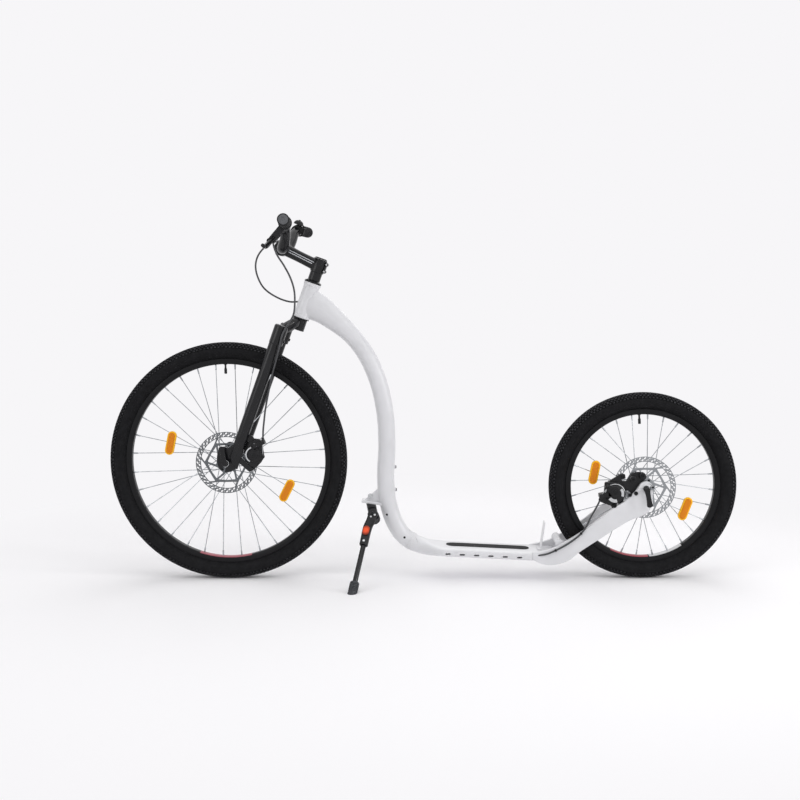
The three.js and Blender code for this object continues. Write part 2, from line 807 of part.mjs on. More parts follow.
const legTop = (side) => steererPoint(-legLead, side * legTopY, legTopZ);
const legFoot = (side) => steererPoint(-legLead, side * legFootY, legFootZ);

function pointOnLeg(side, z) {
  return legFoot(side).lerp(legTop(side), (z - legFootZ) / (legTopZ - legFootZ));
}

function forkCrown() {
  const boss = post([[0, crownSeat - crownHeight], [crownBossRadius, crownSeat - crownHeight],
    [crownBossRadius, crownSeat - gap], [0, crownSeat - gap]], headFacets);
  const steerer = post([[0, crownSeat - overrun], [steererRadius, crownSeat - overrun],
    [steererRadius, stemTop - gap], [0, stemTop - gap]], headFacets);
  const bore = post([[0, crownSeat - crownHeight - overrun],
    [steererRadius - steererWall, crownSeat - crownHeight - overrun],
    [steererRadius - steererWall, stemTop + overrun], [0, stemTop + overrun]], headFacets / 2);
  const socketBottom = legTopZ - socketLength;
  const shoulder = crownSeat - crownHeight / 2;
  const parts = [-1, 1].flatMap((side) => {
    const top = pointOnLeg(side, legTopZ + legCapHeight);
    const socket = rod(pointOnLeg(side, socketBottom), top, socketRadius, headFacets);
    const path = curveThrough([
      [0, 0, shoulder], [-legLead * 0.25, side * legTopY * 0.42, shoulder],
      [-legLead, side * (legTopY - socketRadius * 0.4), legTopZ - crownArmHalfHeight],
    ]);
    const arm = loft(path, 3, 8, () => ({ wide: crownArmHalfDepth, tall: crownArmHalfHeight, square: 3 }));
    return [socket, arm];
  });
  const legBores = [-1, 1].map((side) => rod(
    pointOnLeg(side, socketBottom - overrun), pointOnLeg(side, legTopZ), legTopRadius + gap, headFacets));
  return cut(joined(boss, steerer, ...parts), bore, ...legBores);
}

// Fork leg: a tapered tube with a flat end that holds the axle
function forkLeg(side) {
  const tube = rod(legFoot(side), pointOnLeg(side, legTopZ - gap), legFootRadius, headFacets, legTopRadius);
  const faceY = side * dropoutInner;
  const outerY = side * (dropoutInner + forkEndThickness);
  const foot = [-legLead, legFootZ + legFootRadius];
  const end = plate(link([-forkOffset, 0], forkEndRadius, foot, legFootRadius, 8), faceY, outerY);
  const slotTop = steererPoint(-forkOffset, faceY - side * overrun, 0);
  const slotEnd = steererPoint(-forkOffset, outerY + side * overrun, 0);
  const slot = rod(slotTop, slotEnd, axleSlotRadius, axleFacets);
  const mouth = block(
    new THREE.Vector3(-forkOffset - axleSlotRadius, Math.min(slotTop.y, slotEnd.y), -forkEndRadius - overrun),
    new THREE.Vector3(-forkOffset + axleSlotRadius, Math.max(slotTop.y, slotEnd.y), 0));
  const tabs = side < 0 ? brakeTabs() : [];
  return cut(joined(tube, end, ...tabs), slot, mouth);
}

// Places given in a caliper's frame, turned into X and Z about the axle
function caliperPlace([radius, along], angle) {
  return [
    radius * Math.cos(angle) - along * Math.sin(angle),
    radius * Math.sin(angle) + along * Math.cos(angle),
  ];
}

function brakeTabs() {
  const angle = frontCaliperAngle + rake;
  const outerY = -(dropoutInner + forkEndThickness);
  return [[caliperHighEar, -legLead], [caliperLowEar, -forkOffset]].map(([ear, fromX]) => {
    const [x, z] = caliperPlace(ear, angle);
    const height = Math.max(z, 0);
    return plate(link([fromX, height], tabRadius, [x - forkOffset, z], tabRadius), outerY, -dropoutInner);
  });
}

function stemBody() {
  const clamp = post([[0, stemBottom], [stemClampRadius, stemBottom], [stemClampRadius, stemTop],
    [0, stemTop]], headFacets);
  const path = new THREE.LineCurve3(steererPoint(0, 0, stemMiddle), barCentre);
  const beam = loft(path, 1, 8, () => ({ wide: stemHalfWidth, tall: stemHalfHeight, square: 3 }));
  const cradle = aimedBar(barClampRadius, barClampHalfWidth);
  const lugs = [-1, 1].map((level) => {
    const z = stemMiddle + (level * pinchSpacing) / 2;
    return rod(steererPoint(pinchLugReach - pinchLugRadius, -pinchLugHalfWidth, z),
      steererPoint(pinchLugReach - pinchLugRadius, pinchLugHalfWidth, z), pinchLugRadius, cableSides);
  });
  const bore = post([[0, stemBottom - overrun], [steererRadius + gap, stemBottom - overrun],
    [steererRadius + gap, stemTop + overrun], [0, stemTop + overrun]], headFacets);
  const front = facePlateZone(overrun, 0);
  return cut(joined(clamp, beam, cradle, ...lugs), bore, bar(gap), front);
}

// A cylinder round the middle of the bar
function aimedBar(radius, half) {
  const from = barCentre.clone().add(new THREE.Vector3(0, -half, 0));
  const to = barCentre.clone().add(new THREE.Vector3(0, half, 0));
  return rod(from, to, radius, headFacets);
}

// The space ahead of the split between the stem and its face plate
function facePlateZone(past, split) {
  const reach = barClampRadius + past;
  const half = barClampHalfWidth + past;
  return block(
    new THREE.Vector3(barCentre.x - reach, -half, barCentre.z - reach),
    new THREE.Vector3(barCentre.x - facePlateSplit - split, half, barCentre.z + reach));
}

function facePlate() {
  const shell = cut(aimedBar(barClampRadius, barClampHalfWidth), bar(gap));
  return common(shell, facePlateZone(overrun, gap));
}

function barPath() {
  const right = barRunShares.map(([sweep, reach, rise]) => [
    barCentre.x + sweep * barSweep, reach * barHalfWidth, barCentre.z + rise * barRise]);
  const left = right.slice(1).toReversed().map(([x, y, z]) => [x, -y, z]);
  return curveThrough([...left, ...right]);
}

// The bar swells from the grips to its clamped middle
function bar(extra) {
  return loft(barPath(), barSteps, barSides, (share, at) => {
    const past = (Math.abs(at.y) - barCentreHalf) / (barTaperEnd - barCentreHalf);
    const swell = 1 - THREE.MathUtils.clamp(past, 0, 1);
    const radius = barRadius + (barCentreRadius - barRadius) * swell + extra;
    return { wide: radius, tall: radius, square: 2 };
  });
}

// The point of the bar at a given distance to the right of the middle
function barPoint(y) {
  const path = barPath();
  let [low, high] = [0.5, 1];
  for (let i = 0; i < 24; i += 1) {
    const middle = (low + high) / 2;
    if (path.getPointAt(middle).y < y) low = middle;
    else high = middle;
  }
  return path.getPointAt(low);
}

function handGrip() {
  const inner = barPoint(handGripInner);
  const end = barPoint(barHalfWidth);
  const length = inner.distanceTo(end) + handGripEnd;
  const profile = [
    [0, 0], [handGripFlange, 0], [handGripFlange, handGripFlangeLength],
    [handGripRadius, handGripFlangeLength], [handGripRadius, length - handGripEnd / 2],
    [handGripRadius - handGripEnd / 2, length], [0, length],
  ];
  const past = end.clone().sub(inner).normalize().multiplyScalar(gap).add(end);
  const room = rod(inner.lerp(end, 0.9), past, barRadius + gap, barSides);
  return cut(aimed(drum(profile, hubFacets), barPoint(handGripInner), end), bar(gap), room);
}

// Directions of the brake lever: out from the bar, and the axis it turns about
const leverOut = new THREE.Vector3(Math.cos(leverTilt), 0, Math.sin(leverTilt));
const leverAxis = new THREE.Vector3(-leverOut.z, 0, leverOut.x);

function leverPivot() {
  return barPoint(perchPlace).addScaledVector(leverOut, leverPivotReach);
}

function perch() {
  const hold = barPoint(perchPlace);
  const pivot = leverPivot();
  const outline = link([hold.x, hold.z], perchClampRadius, [pivot.x, pivot.z], perchArmRadius);
  const arm = plate(outline, perchPlace - perchHalfWidth, perchPlace + perchHalfWidth);
  const barrelFrom = hold.clone().addScaledVector(leverOut, barrelReach);
  const barrelTo = barrelFrom.clone().add(new THREE.Vector3(0, -perchHalfWidth - barrelLength, 0));
  const barrel = rod(barrelFrom, barrelTo, barrelRadius, cableSides);
  const slotRadius = leverEyeRadius + 2 * gap;
  const slot = rod(
    pivot.clone().addScaledVector(leverAxis, -leverEyeWidth / 2 - gap),
    pivot.clone().addScaledVector(leverAxis, leverEyeWidth / 2 + gap), slotRadius, hubFacets);
  const mouth = aimed(
    new THREE.BoxGeometry(4 * slotRadius, leverEyeWidth + 2 * gap, 4 * slotRadius),
    pivot.clone(), pivot.clone().add(leverAxis));
  mouth.translate(0, 2 * slotRadius, 0).translate(leverOut.x * slotRadius, 0, leverOut.z * slotRadius);
  const pinHole = rod(
    pivot.clone().addScaledVector(leverAxis, -leverPinLength),
    pivot.clone().addScaledVector(leverAxis, leverPinLength), leverPinRadius + gap, cableSides);
  return cut(joined(arm, barrel), bar(gap), slot, mouth, pinHole);
}

function brakeLever() {
  const pivot = leverPivot();
  const eye = rod(
    pivot.clone().addScaledVector(leverAxis, -leverEyeWidth / 2),
    pivot.clone().addScaledVector(leverAxis, leverEyeWidth / 2), leverEyeRadius, hubFacets);
  const pin = rod(
    pivot.clone().addScaledVector(leverAxis, -leverPinLength / 2),
    pivot.clone().addScaledVector(leverAxis, leverPinLength / 2), leverPinRadius, cableSides);
  const points = leverRunShares.map(([out, drop]) => {
    const at = pivot.clone().addScaledVector(leverOut, drop * leverDrop);
    return at.add(new THREE.Vector3(0, out * leverLength, 0)).toArray();
  });
  const blade = loft(curveThrough(points), 8, 6, (share) => {
    const swell = 0.55 + 0.45 * Math.sin(Math.PI * Math.min(1, 0.15 + share));
    const tip = share > 0.9 ? 1.25 : 1;
    const wide = Math.min(leverEyeWidth / 2, leverBladeHalfWidth * (0.6 + share));
    return { wide: leverBladeHalfHeight * swell * tip, tall: share < 0.2 ? wide : leverBladeHalfWidth, square: 2 };
  });
  return joined(eye, pin, blade);
}

function bell() {
  const hold = barPoint(bellPlace);
  const clampOutline = link([hold.x, hold.z], perchClampRadius, [hold.x, hold.z + bellLift - bellStalkRadius],
    bellStalkRadius);
  const clamp = plate(clampOutline, bellPlace - bellHalfWidth, bellPlace + bellHalfWidth);
  const stalk = post([[0, 0], [bellStalkRadius, 0], [bellStalkRadius, bellLift], [0, bellLift]], cableSides);
  stalk.translate(hold.x, bellPlace, hold.z + perchClampRadius - bellWall);
  const shares = [[1, 0], [0.92, 0.42], [0.6, 0.82], [0, 1]];
  const inner = bellRadius - bellWall;
  const tall = bellHeight - bellWall;
  const profile = [
    ...shares.map(([r, z]) => [r * bellRadius, z * bellHeight]),
    ...shares.toReversed().map(([r, z]) => [r * inner, z * tall]), [bellRadius, 0]];
  const dome = post(profile, hubFacets).translate(hold.x, bellPlace, hold.z + bellLift + bellWall);
  const pivot = strikerPivot();
  const ear = block(
    new THREE.Vector3(hold.x, bellPlace - bellHalfWidth, hold.z - bellHalfWidth),
    new THREE.Vector3(pivot.x + strikerRadius, bellPlace + bellHalfWidth, pivot.z - strikerThickness / 2 - gap));
  return cut(joined(dome, stalk, clamp, ear), bar(gap));
}

function strikerPivot() {
  const hold = barPoint(bellPlace);
  return hold.add(new THREE.Vector3(perchClampRadius + strikerRadius + gap, 0, bellLift - strikerThickness));
}

function striker() {
  const pivot = strikerPivot();
  const outline = link([0, 0], strikerRadius, [0, strikerReach], strikerRadius, 4);
  const shape = plate(outline, -strikerThickness / 2, strikerThickness / 2);
  return shape.rotateX(quarterTurn).translate(pivot.x, pivot.y, pivot.z);
}

// Frame pieces

// Points of the spine ahead of the seam, down the main tube
function tubePoints() {
  return tubeRunShares.map(([run, drop]) => [
    headJointX + run * (seamX - headJointX), 0, seamZ + drop * (headJointZ - seamZ)]);
}

// Place along X at a share of the level deck
function deckPlace(share) {
  return deckFrontX + share * (deckRearX - deckFrontX);
}

// Points of the spine behind the seam, down to a given end of the deck
function deckPoints(end) {
  const slope = (deckRearZ - deckFrontZ) / (deckRearX - deckFrontX);
  const dip = [seamX + (deckFrontX - seamX) * 0.45, 0, deckFrontZ + (seamZ - deckFrontZ) * 0.28];
  const run = [0, 0.25, 0.5, 0.75, 1].map((share) => [
    deckPlace(share), 0, deckFrontZ + share * (deckRearZ - deckFrontZ)]);
  return [dip, ...run, [end, 0, deckRearZ + slope * (end - deckRearX)]];
}

// Both skins follow the same curve at the seam, so that they meet there
function tubePath() {
  return curveThrough([...tubePoints(), ...deckPoints(yokeRearX).slice(0, 2)]);
}

function deckPath(end) {
  return curveThrough([...tubePoints().slice(-3), ...deckPoints(end)]);
}

// All space ahead of the seam or behind it
function seamRoom(side) {
  const reach = side * (seamX + wheelbase);
  return block(
    new THREE.Vector3(Math.min(seamX, seamX + reach), -deckHalfWidth - overrun, 0),
    new THREE.Vector3(Math.max(seamX, seamX + reach), deckHalfWidth + overrun, headJointZ + wheelbase));
}

// The section of the spine: a round tube that spreads into the flat deck
function spineSection(at, shrink) {
  const spread = THREE.MathUtils.smoothstep(at.x, seamX, deckFrontX + deckHalfHeight);
  return {
    wide: THREE.MathUtils.lerp(tubeRadius, deckHalfWidth, spread) - shrink,
    tall: THREE.MathUtils.lerp(tubeRadius, deckHalfHeight, spread) - shrink,
    square: THREE.MathUtils.lerp(2, 5, spread),
  };
}

// The tube is round, and it grows tall where it meets the head tube
function tubeSkin(shrink, steps, sides) {
  return loft(tubePath(), steps, sides, (share, at) => {
    const flare = Math.max(0, 1 - share / tubeFlareShare) ** 1.6;
    const section = spineSection(at, shrink);
    return { ...section, tall: section.tall + (tubeFlareHeight - tubeRadius) * flare };
  });
}

// Room for the head tube and its two rings
function headRoom() {
  const ring = headRingRadius + gap;
  const waist = headTubeRadius + gap;
  const low = crownSeat + headRingLength + cupFlange + 3 * gap;
  const high = headTubeTop - headRingLength - cupFlange - 2 * gap;
  const body = post([
    [0, crownSeat - overrun], [ring, crownSeat - overrun], [ring, low], [waist, low],
    [waist, high], [ring, high], [ring, headTubeTop + overrun], [0, headTubeTop + overrun],
  ], headFacets);
  return body.applyMatrix4(steeringTurn);
}

function mainTube() {
  const bosses = [cageBossUpperZ, cageBossLowerZ].map((z) => {
    const from = tubePointAt(z);
    const to = from.clone().add(new THREE.Vector3(tubeRadius + cageBossProud, 0, 0));
    return rod(from, to, cageBossRadius, hubFacets);
  });
  const outside = joined(tubeSkin(0, tubeSteps, tubeSides), ...bosses);
  const behind = seamRoom(1).translate(-gap, 0, 0);
  return cut(outside, tubeSkin(tubeWall, tubeSteps, tubeSides), headRoom(), behind, rearRun(gap));
}

// The point of the centre line at a given height, on its steep stretch
function tubePointAt(z) {
  const path = tubePath();
  let [low, high] = [0.3, 0.95];
  for (let i = 0; i < 24; i += 1) {
    const middle = (low + high) / 2;
    if (path.getPointAt(middle).z > z) low = middle;
    else high = middle;
  }
  return path.getPointAt(low);
}

function headTube() {
  const bottom = crownSeat + gap + cupFlange + gap;
  const top = headTubeTop - cupFlange - gap;
  const inner = headTubeRadius - headTubeWall;
  return post([
    [inner, bottom], [headRingRadius, bottom], [headRingRadius, bottom + headRingLength],
    [headTubeRadius, bottom + headRingLength], [headTubeRadius, top - headRingLength],
    [headRingRadius, top - headRingLength], [headRingRadius, top], [inner, top], [inner, bottom],
  ], headFacets);
}

function headsetCup(level) {
  const outer = headTubeRadius - headTubeWall - gap;
  const inner = outer - cupWall;
  const face = level > 0 ? headTubeTop : crownSeat + gap;
  const flange = face - level * cupFlange;
  const end = flange - level * cupSkirt;
  return post([
    [inner, face], [headRingRadius, face], [headRingRadius, flange], [outer, flange],
    [outer, end], [inner, end], [inner, face],
  ], headFacets);
}

function headsetBearing(level) {
  const outer = headTubeRadius - headTubeWall - gap - cupWall - gap;
  const from = level > 0 ? headTubeTop - cupFlange : crownSeat + gap + cupFlange;
  return post(ringProfile(steererRadius + 2 * gap, outer, from, from - level * bearingHeight), headFacets);
}

function headsetCover() {
  const from = headTubeTop + gap;
  return post([
    [steererRadius + gap, from], [headRingRadius, from], [spacerRadius, from + headsetCoverHeight],
    [steererRadius + gap, from + headsetCoverHeight], [steererRadius + gap, from],
  ], headFacets);
}

function deckSkin(shrink, steps, sides, end) {
  return loft(deckPath(end), steps, sides, (share, at) => spineSection(at, shrink));
}

// The deck is a flat hollow beam that narrows to a yoke between the arms
function deckBeam() {
  const skin = deckSkin(0, deckSteps, deckSides, yokeRearX);
  const solidEnd = block(
    new THREE.Vector3(deckRearX - deckWall, -deckHalfWidth, 0),
    new THREE.Vector3(yokeRearX + overrun, deckHalfWidth, deckFrontZ));
  const hollow = cut(deckSkin(deckWall, deckSteps, deckSides, yokeRearX), solidEnd);
  const shoulders = [-1, 1].map((side) => {
    const inner = side * (dropoutInner - gap);
    const outer = side * (deckHalfWidth + overrun);
    return block(
      new THREE.Vector3(deckRearX - gap, Math.min(inner, outer), 0),
      new THREE.Vector3(yokeRearX + overrun, Math.max(inner, outer), deckFrontZ + tubeRadius));
  });
  const slots = Array.from({ length: slotCount }, (_, i) => {
    const share = slotFirstShare + (i * (slotLastShare - slotFirstShare)) / (slotCount - 1);
    const x = deckPlace(share);
    const z = deckFrontZ + ((deckRearZ - deckFrontZ) * (x - deckFrontX)) / (deckRearX - deckFrontX);
    return block(
      new THREE.Vector3(x - slotLength / 2, -deckHalfWidth - overrun, z - slotHeight / 2),
      new THREE.Vector3(x + slotLength / 2, deckHalfWidth + overrun, z + slotHeight / 2));
  });
  return cut(skin, hollow, seamRoom(-1), ...shoulders, ...slots, rearRun(gap));
}

// The grip tape follows the crown of the deck
function deckGrip() {
  const over = deckSkin(-gripThickness - gap, deckSteps, deckSides, yokeRearX);
  const zone = block(
    new THREE.Vector3(deckPlace(gripFrontShare), -gripHalfWidth, deckRearZ),
    new THREE.Vector3(deckPlace(gripRearShare), gripHalfWidth, deckFrontZ + tubeRadius));
  return cut(common(over, zone), deckSkin(-gap, deckSteps, deckSides, yokeRearX));
}

function rearArm() {
  const run = rearAxle.x - deckRearX;
  const place = ([along, up]) => [deckRearX + along * run, up * rearAxle.z];
  const end = arc(rearAxle.x, rearAxle.z, armEndRadius, 0, armEndArc, 6);
  const outline = [...armLowerShares.map(place), ...end, ...armUpperShares.map(place)];
  const body = plate(outline, dropoutInner, dropoutInner + armThickness);
  const from = new THREE.Vector3(rearAxle.x, dropoutInner - overrun, rearAxle.z);
  const to = new THREE.Vector3(rearAxle.x, dropoutInner + armThickness + overrun, rearAxle.z);
  const mouth = block(
    new THREE.Vector3(rearAxle.x, from.y, rearAxle.z - axleSlotRadius),
    new THREE.Vector3(rearAxle.x + armEndRadius + overrun, to.y, rearAxle.z + axleSlotRadius));
  return cut(body, rod(from, to, axleSlotRadius, axleFacets), mouth);
}

function armBridge() {
  const half = dropoutInner - gap;
  return rod(new THREE.Vector3(bridgeX, -half, bridgeZ), new THREE.Vector3(bridgeX, half, bridgeZ),
    bridgeRadius, headFacets);
}

function heelGuard() {
  const slope = (deckRearZ - deckFrontZ) / (deckRearX - deckFrontX);
  const top = (x) => deckRearZ + slope * (x - deckRearX) + deckHalfHeight + gap;
  const outline = [
    [guardFootX, top(guardFootX)], [guardBendX, top(guardBendX)], [guardTopX, guardTopZ],
    [guardTopX - guardThickness, guardTopZ], [guardBendX - guardThickness, top(guardBendX) + guardThickness],
    [guardFootX, top(guardFootX) + guardThickness],
  ];
  return plate(outline, -guardHalfWidth, guardHalfWidth);
}

// Kickstand

const standDown = new THREE.Vector3(...standFootCentre).sub(new THREE.Vector3(...standPivot)).normalize();
const standAxis = new THREE.Vector3().crossVectors(standDown, new THREE.Vector3(...standFolded)).normalize();
const standTurn = new THREE.Matrix4().makeBasis(
  standAxis, new THREE.Vector3().crossVectors(standDown.clone().negate(), standAxis),
  standDown.clone().negate()).setPosition(new THREE.Vector3(...standPivot));
const standReach = new THREE.Vector3(...standFootCentre).distanceTo(new THREE.Vector3(...standPivot));

// Height of the sloping shelf's top at a place along X
function standShelfZ(x) {
  const back = tubePointAt(standBracketZ).x;
  return standBracketZ - (standBracketDrop * (x - standBracketX)) / (back - standBracketX);
}

function standBracket() {
  const back = tubePointAt(standBracketZ).x;
  const under = standBracketThickness;
  const shelf = plate([
    [standBracketX, standShelfZ(standBracketX)], [back, standShelfZ(back)],
    [back, standShelfZ(back) - under], [standBracketX, standShelfZ(standBracketX) - under],
  ], -standBracketHalfWidth, standBracketHalfWidth);
  const start = standBracketX + under;
  const gusset = plate([
    [start, standShelfZ(start) - gap], [back, standShelfZ(back) - gap],
    [back, standGussetTopZ], [back - tubeRadius - gap, standGussetTopZ],
  ], -standGussetThickness / 2, standGussetThickness / 2);
  return cut(joined(shelf, gusset), tubeSkin(-gap, tubeSteps, tubeSides));
}

// Along the turned X of the stand: the head is inboard of the pivot, the leg's eye outboard
function standPoint(x, y, z) {
  return new THREE.Vector3(x, y, z).applyMatrix4(standTurn);
}

function standHead() {
  const hub = rod(standPoint(-standHeadDepth, 0, 0), standPoint(-gap / 2, 0, 0), standHeadRadius, headFacets);
  const middle = (standBracketX + tubePointAt(standBracketZ).x - tubeRadius) / 2;
  const start = new THREE.Vector3(middle, -standBracketHalfWidth + standNeckHalfWidth, standShelfZ(middle));
  const inside = standPoint(-standHeadDepth / 2, 0, 0);
  const neck = loft(new THREE.LineCurve3(start, inside), 2, 8, () => ({
    wide: standNeckHalfWidth, tall: standNeckHalfWidth, square: 4 }));
  const past = tubeRadius + standNeckHalfWidth;
  const under = (x) => standShelfZ(x) - standBracketThickness - gap;
  const above = plate([
    [middle - past, under(middle - past)], [middle + past, under(middle + past)],
    [middle + past, standShelfZ(middle) + past], [middle - past, standShelfZ(middle) + past],
  ], start.y - past, start.y + past);
  const swept = rod(standPoint(-gap / 2, 0, 0), standPoint(2 * standEyeDepth, 0, 0), standNeckHalfWidth * 2, headFacets);
  return cut(joined(hub, neck), above, swept);
}

function standLeg() {
  const eye = rod(new THREE.Vector3(gap / 2, 0, 0), new THREE.Vector3(standEyeDepth, 0, 0),
    standEyeRadius, headFacets);
  const bolt = rod(new THREE.Vector3(standEyeDepth - gap, 0, 0),
    new THREE.Vector3(standEyeDepth + standBoltHeight, 0, 0), standBoltRadius, 6);
  const neck = standEyeDepth / 2 + gap;
  const path = curveThrough([
    [neck, 0, 0], [neck, 0, -standHeadRadius - overrun], [0, 0, -2.5 * standHeadRadius],
    [0, 0, -standLegLength]]);
  const shaft = loft(path, 6, 8, (share, at) => {
    const past = (-at.z - standHeadRadius - overrun) / standHeadRadius;
    const depth = THREE.MathUtils.lerp(neck - 2 * gap, standLegHalfDepth, THREE.MathUtils.clamp(past, 0, 1));
    return { wide: THREE.MathUtils.lerp(standLegHalfWidth, standLegTaperEnd, share), tall: depth, square: 3 };
  });
  const bore = rod(new THREE.Vector3(0, 0, -standLegLength - overrun),
    new THREE.Vector3(0, 0, -standLegLength + standRodInside + gap), standRodRadius + gap, hubFacets);
  return cut(joined(eye, bolt, shaft), bore, standButton(gap));
}

// The release button of the stand, an oblong stud in a blind hole in the leg
function standButton(extra) {
  const radius = standButtonHalfWidth + extra;
  const reach = standButtonHalfLength - standButtonHalfWidth;
  const middle = -standButtonPlace;
  const outline = link([0, middle - reach], radius, [0, middle + reach], radius, 4);
  const from = standLegHalfDepth - standButtonDepth - (extra > 0 ? standButtonTravel + gap : 0);
  return plate(outline, from, standLegHalfDepth + standButtonProud + extra).rotateZ(-quarterTurn);
}

const standSocketZ = -standReach + standFootLength / 2 - standFootSocket;

function standRod() {
  const from = new THREE.Vector3(0, 0, -standLegLength + standRodInside);
  return rod(from, new THREE.Vector3(0, 0, standSocketZ), standRodRadius, hubFacets);
}

// The rubber foot is cut flat where it stands on the ground
function standFoot() {
  const from = standPoint(0, 0, -standReach + standFootLength / 2);
  const to = standPoint(0, 0, -standReach - standFootLength);
  const ground = block(
    new THREE.Vector3(to.x - standFootLength, to.y - standFootLength, -standFootLength * 2),
    new THREE.Vector3(to.x + standFootLength * 2, to.y + standFootLength * 2, 0));
  const socket = rod(standPoint(0, 0, standSocketZ - gap), standPoint(0, 0, -standReach + standFootLength),
    standRodRadius + gap, hubFacets);
  return cut(rod(from, to, standFootRadius, headFacets), ground, socket);
}

// Cable routes, points chosen by hand; the ends are straight for a short run. Heights count from the front axle
const rearPortPlace = [238, 26.8, 432];
const rearPortHeading = [0.72, -0.35, -0.6];
const rearLoopRoute = [
  [155, 125.6, 615.6], [154.6, 118, 615.4], [150, 108, 613], [134, 92, 611], [112, 80, 603], [93, 72, 587],
  [80, 64, 566], [75, 60, 541], [80, 60, 512], [97, 60, 480], [131, 56, 455], [170, 50, 441],
  [205, 41, 441],
];
const frontRunRoute = [
  [155, -125.6, 615.6], [154.6, -118, 615.2], [149, -108, 608], [147, -104, 594], [156, -99, 566], [171.6, -89, 539.6],
  [186.8, -76, 507.8], [196, -68, 475.7], [198.3, -70, 446], [195, -79, 407], [181, -86, 381], [165, -87.5, 353],
  [156.5, -84, 322], [147.6, -77, 281.6], [137.3, -71, 239.2], [124, -68, 180], [112, -67, 124],
];

// The hidden run down the tube in shares of its run, radius and drop, and along the deck in shares of its run, half
// width and height
const rearTubeRouteShares = [
  [0.1758, 0.4583, 0.9506], [0.2951, 0.0833, 0.9162], [0.4353, 0, 0.8623], [0.5826, 0, 0.774],
  [0.6949, 0, 0.6617], [0.7545, 0, 0.5344], [0.7685, 0, 0.3997], [0.7545, 0, 0.2814],
  [0.7685, 0, 0.1826], [0.8246, -0.0833, 0.0943], [0.9123, -0.2083, 0.0344],
];
const rearDeckRouteShares = [
  [0.0239, -0.1613, 1.1995], [0.1284, -0.3226, 1.0771], [0.2478, -0.6129, 1.0037], [0.397, -0.7742, 0.967],
  [0.5761, -0.8387, 0.9302], [0.7552, -0.8548, 0.8935], [0.8627, -0.879, 0.869], [0.9224, -0.9839, 0.869],
  [0.9701, -1.0645, 0.8813], [1.0299, -1.0645, 0.8996],
];

// Along the arm, counted rearwards from the rear axle
const rearArmRoute = [
  [-270, -65.2, 79], [-245, -65.2, 89], [-210, -65.2, 108.5], [-175, -65.2, 134], [-159, -65.2, 156], [-141, -66.4, 188],
];

function fromFrontAxle([x, y, z]) {
  return [x, y, z + frontRadius];
}

// The loop and the hidden run meet end to end at the port, half a gap each side of it
function portPoint(along) {
  return fromFrontAxle(rearPortPlace).map((place, i) => place + along * rearPortHeading[i]);
}

function rearLoop() {
  const route = rearLoopRoute.map(fromFrontAxle);
  return cable([...route, portPoint(-cableEndRun / 2), portPoint(-gap / 2)], rearLoopSteps);
}

function rearRun(extra) {
  const tube = rearTubeRouteShares.map(([run, across, drop]) => [
    headJointX + run * (seamX - headJointX), across * tubeRadius, seamZ + drop * (headJointZ - seamZ)]);
  const deck = rearDeckRouteShares.map(([run, across, up]) => [
    seamX + run * (deckRearX - seamX), across * deckHalfWidth, up * deckFrontZ]);
  const arm = rearArmRoute.map(([x, y, z]) => [rearAxle.x + x, y, z]);
  const start = [portPoint(gap / 2 - extra), portPoint(cableEndRun / 2)];
  const route = [...start, ...tube, ...deck, ...arm, ...stopRun(rearAxle, rearCaliperAngle)];
  return cable(route, rearRunSteps, extra);
}

function frontRun() {
  return cable([...frontRunRoute.map(fromFrontAxle), ...stopRun(frontAxle, frontCaliperAngle)], frontRunSteps);
}

// The last points of a brake cable, straight into the caliper's ferrule
function stopRun(axle, angle) {
  const face = caliperStopHalf + ferruleLength + gap;
  const y = -(dropoutInner - gap) - caliperBossLength - brakeArmThickness / 2 - gap;
  return [face + cableEndRun, face].map((along) => {
    const [x, z] = caliperPlace(alongStop(along), angle);
    return [axle.x + x, y, axle.z + z];
  });
}

// Assembly
const kickBike = new THREE.Group();
kickBike.position.x = -(wheelbase + rearRadius - frontRadius) / 2;

const steering = new THREE.Group();
steering.position.copy(steeringFoot);
steering.rotation.y = rake;
kickBike.add(steering);

const headFrame = new THREE.Group();
headFrame.position.copy(steeringFoot);
headFrame.rotation.y = rake;
kickBike.add(headFrame);

piece(headFrame, "head_tube", headTube(), paintWhite);
piece(headFrame, "upper_headset_cup", headsetCup(1), blackAlloy);
piece(headFrame, "lower_headset_cup", headsetCup(-1), blackAlloy);
piece(headFrame, "upper_headset_bearing", headsetBearing(1), steel);
piece(headFrame, "lower_headset_bearing", headsetBearing(-1), steel);
piece(kickBike, "main_tube", mainTube(), paintWhite);
piece(kickBike, "deck_beam", deckBeam(), paintWhite);
piece(kickBike, "deck_grip_tape", deckGrip(), blackRubber);
piece(kickBike, "right_rear_arm", rearArm(), paintWhite);
piece(kickBike, "left_rear_arm", mirrored(rearArm()), paintWhite);
piece(kickBike, "arm_bridge", armBridge(), paintWhite);
piece(kickBike, "heel_guard", heelGuard(), paintWhite);
piece(kickBike, "stand_bracket", standBracket(), paintWhite);

const frontWheel = new THREE.Group();
frontWheel.position.copy(frontAxle);
kickBike.add(frontWheel);
wheel(frontWheel, "front", frontRadius, frontSpokes, frontValveAngle, frontReflectors);

const rearWheel = new THREE.Group();
rearWheel.position.copy(rearAxle);
kickBike.add(rearWheel);
wheel(rearWheel, "rear", rearRadius, rearSpokes, rearValveAngle, rearReflectors);

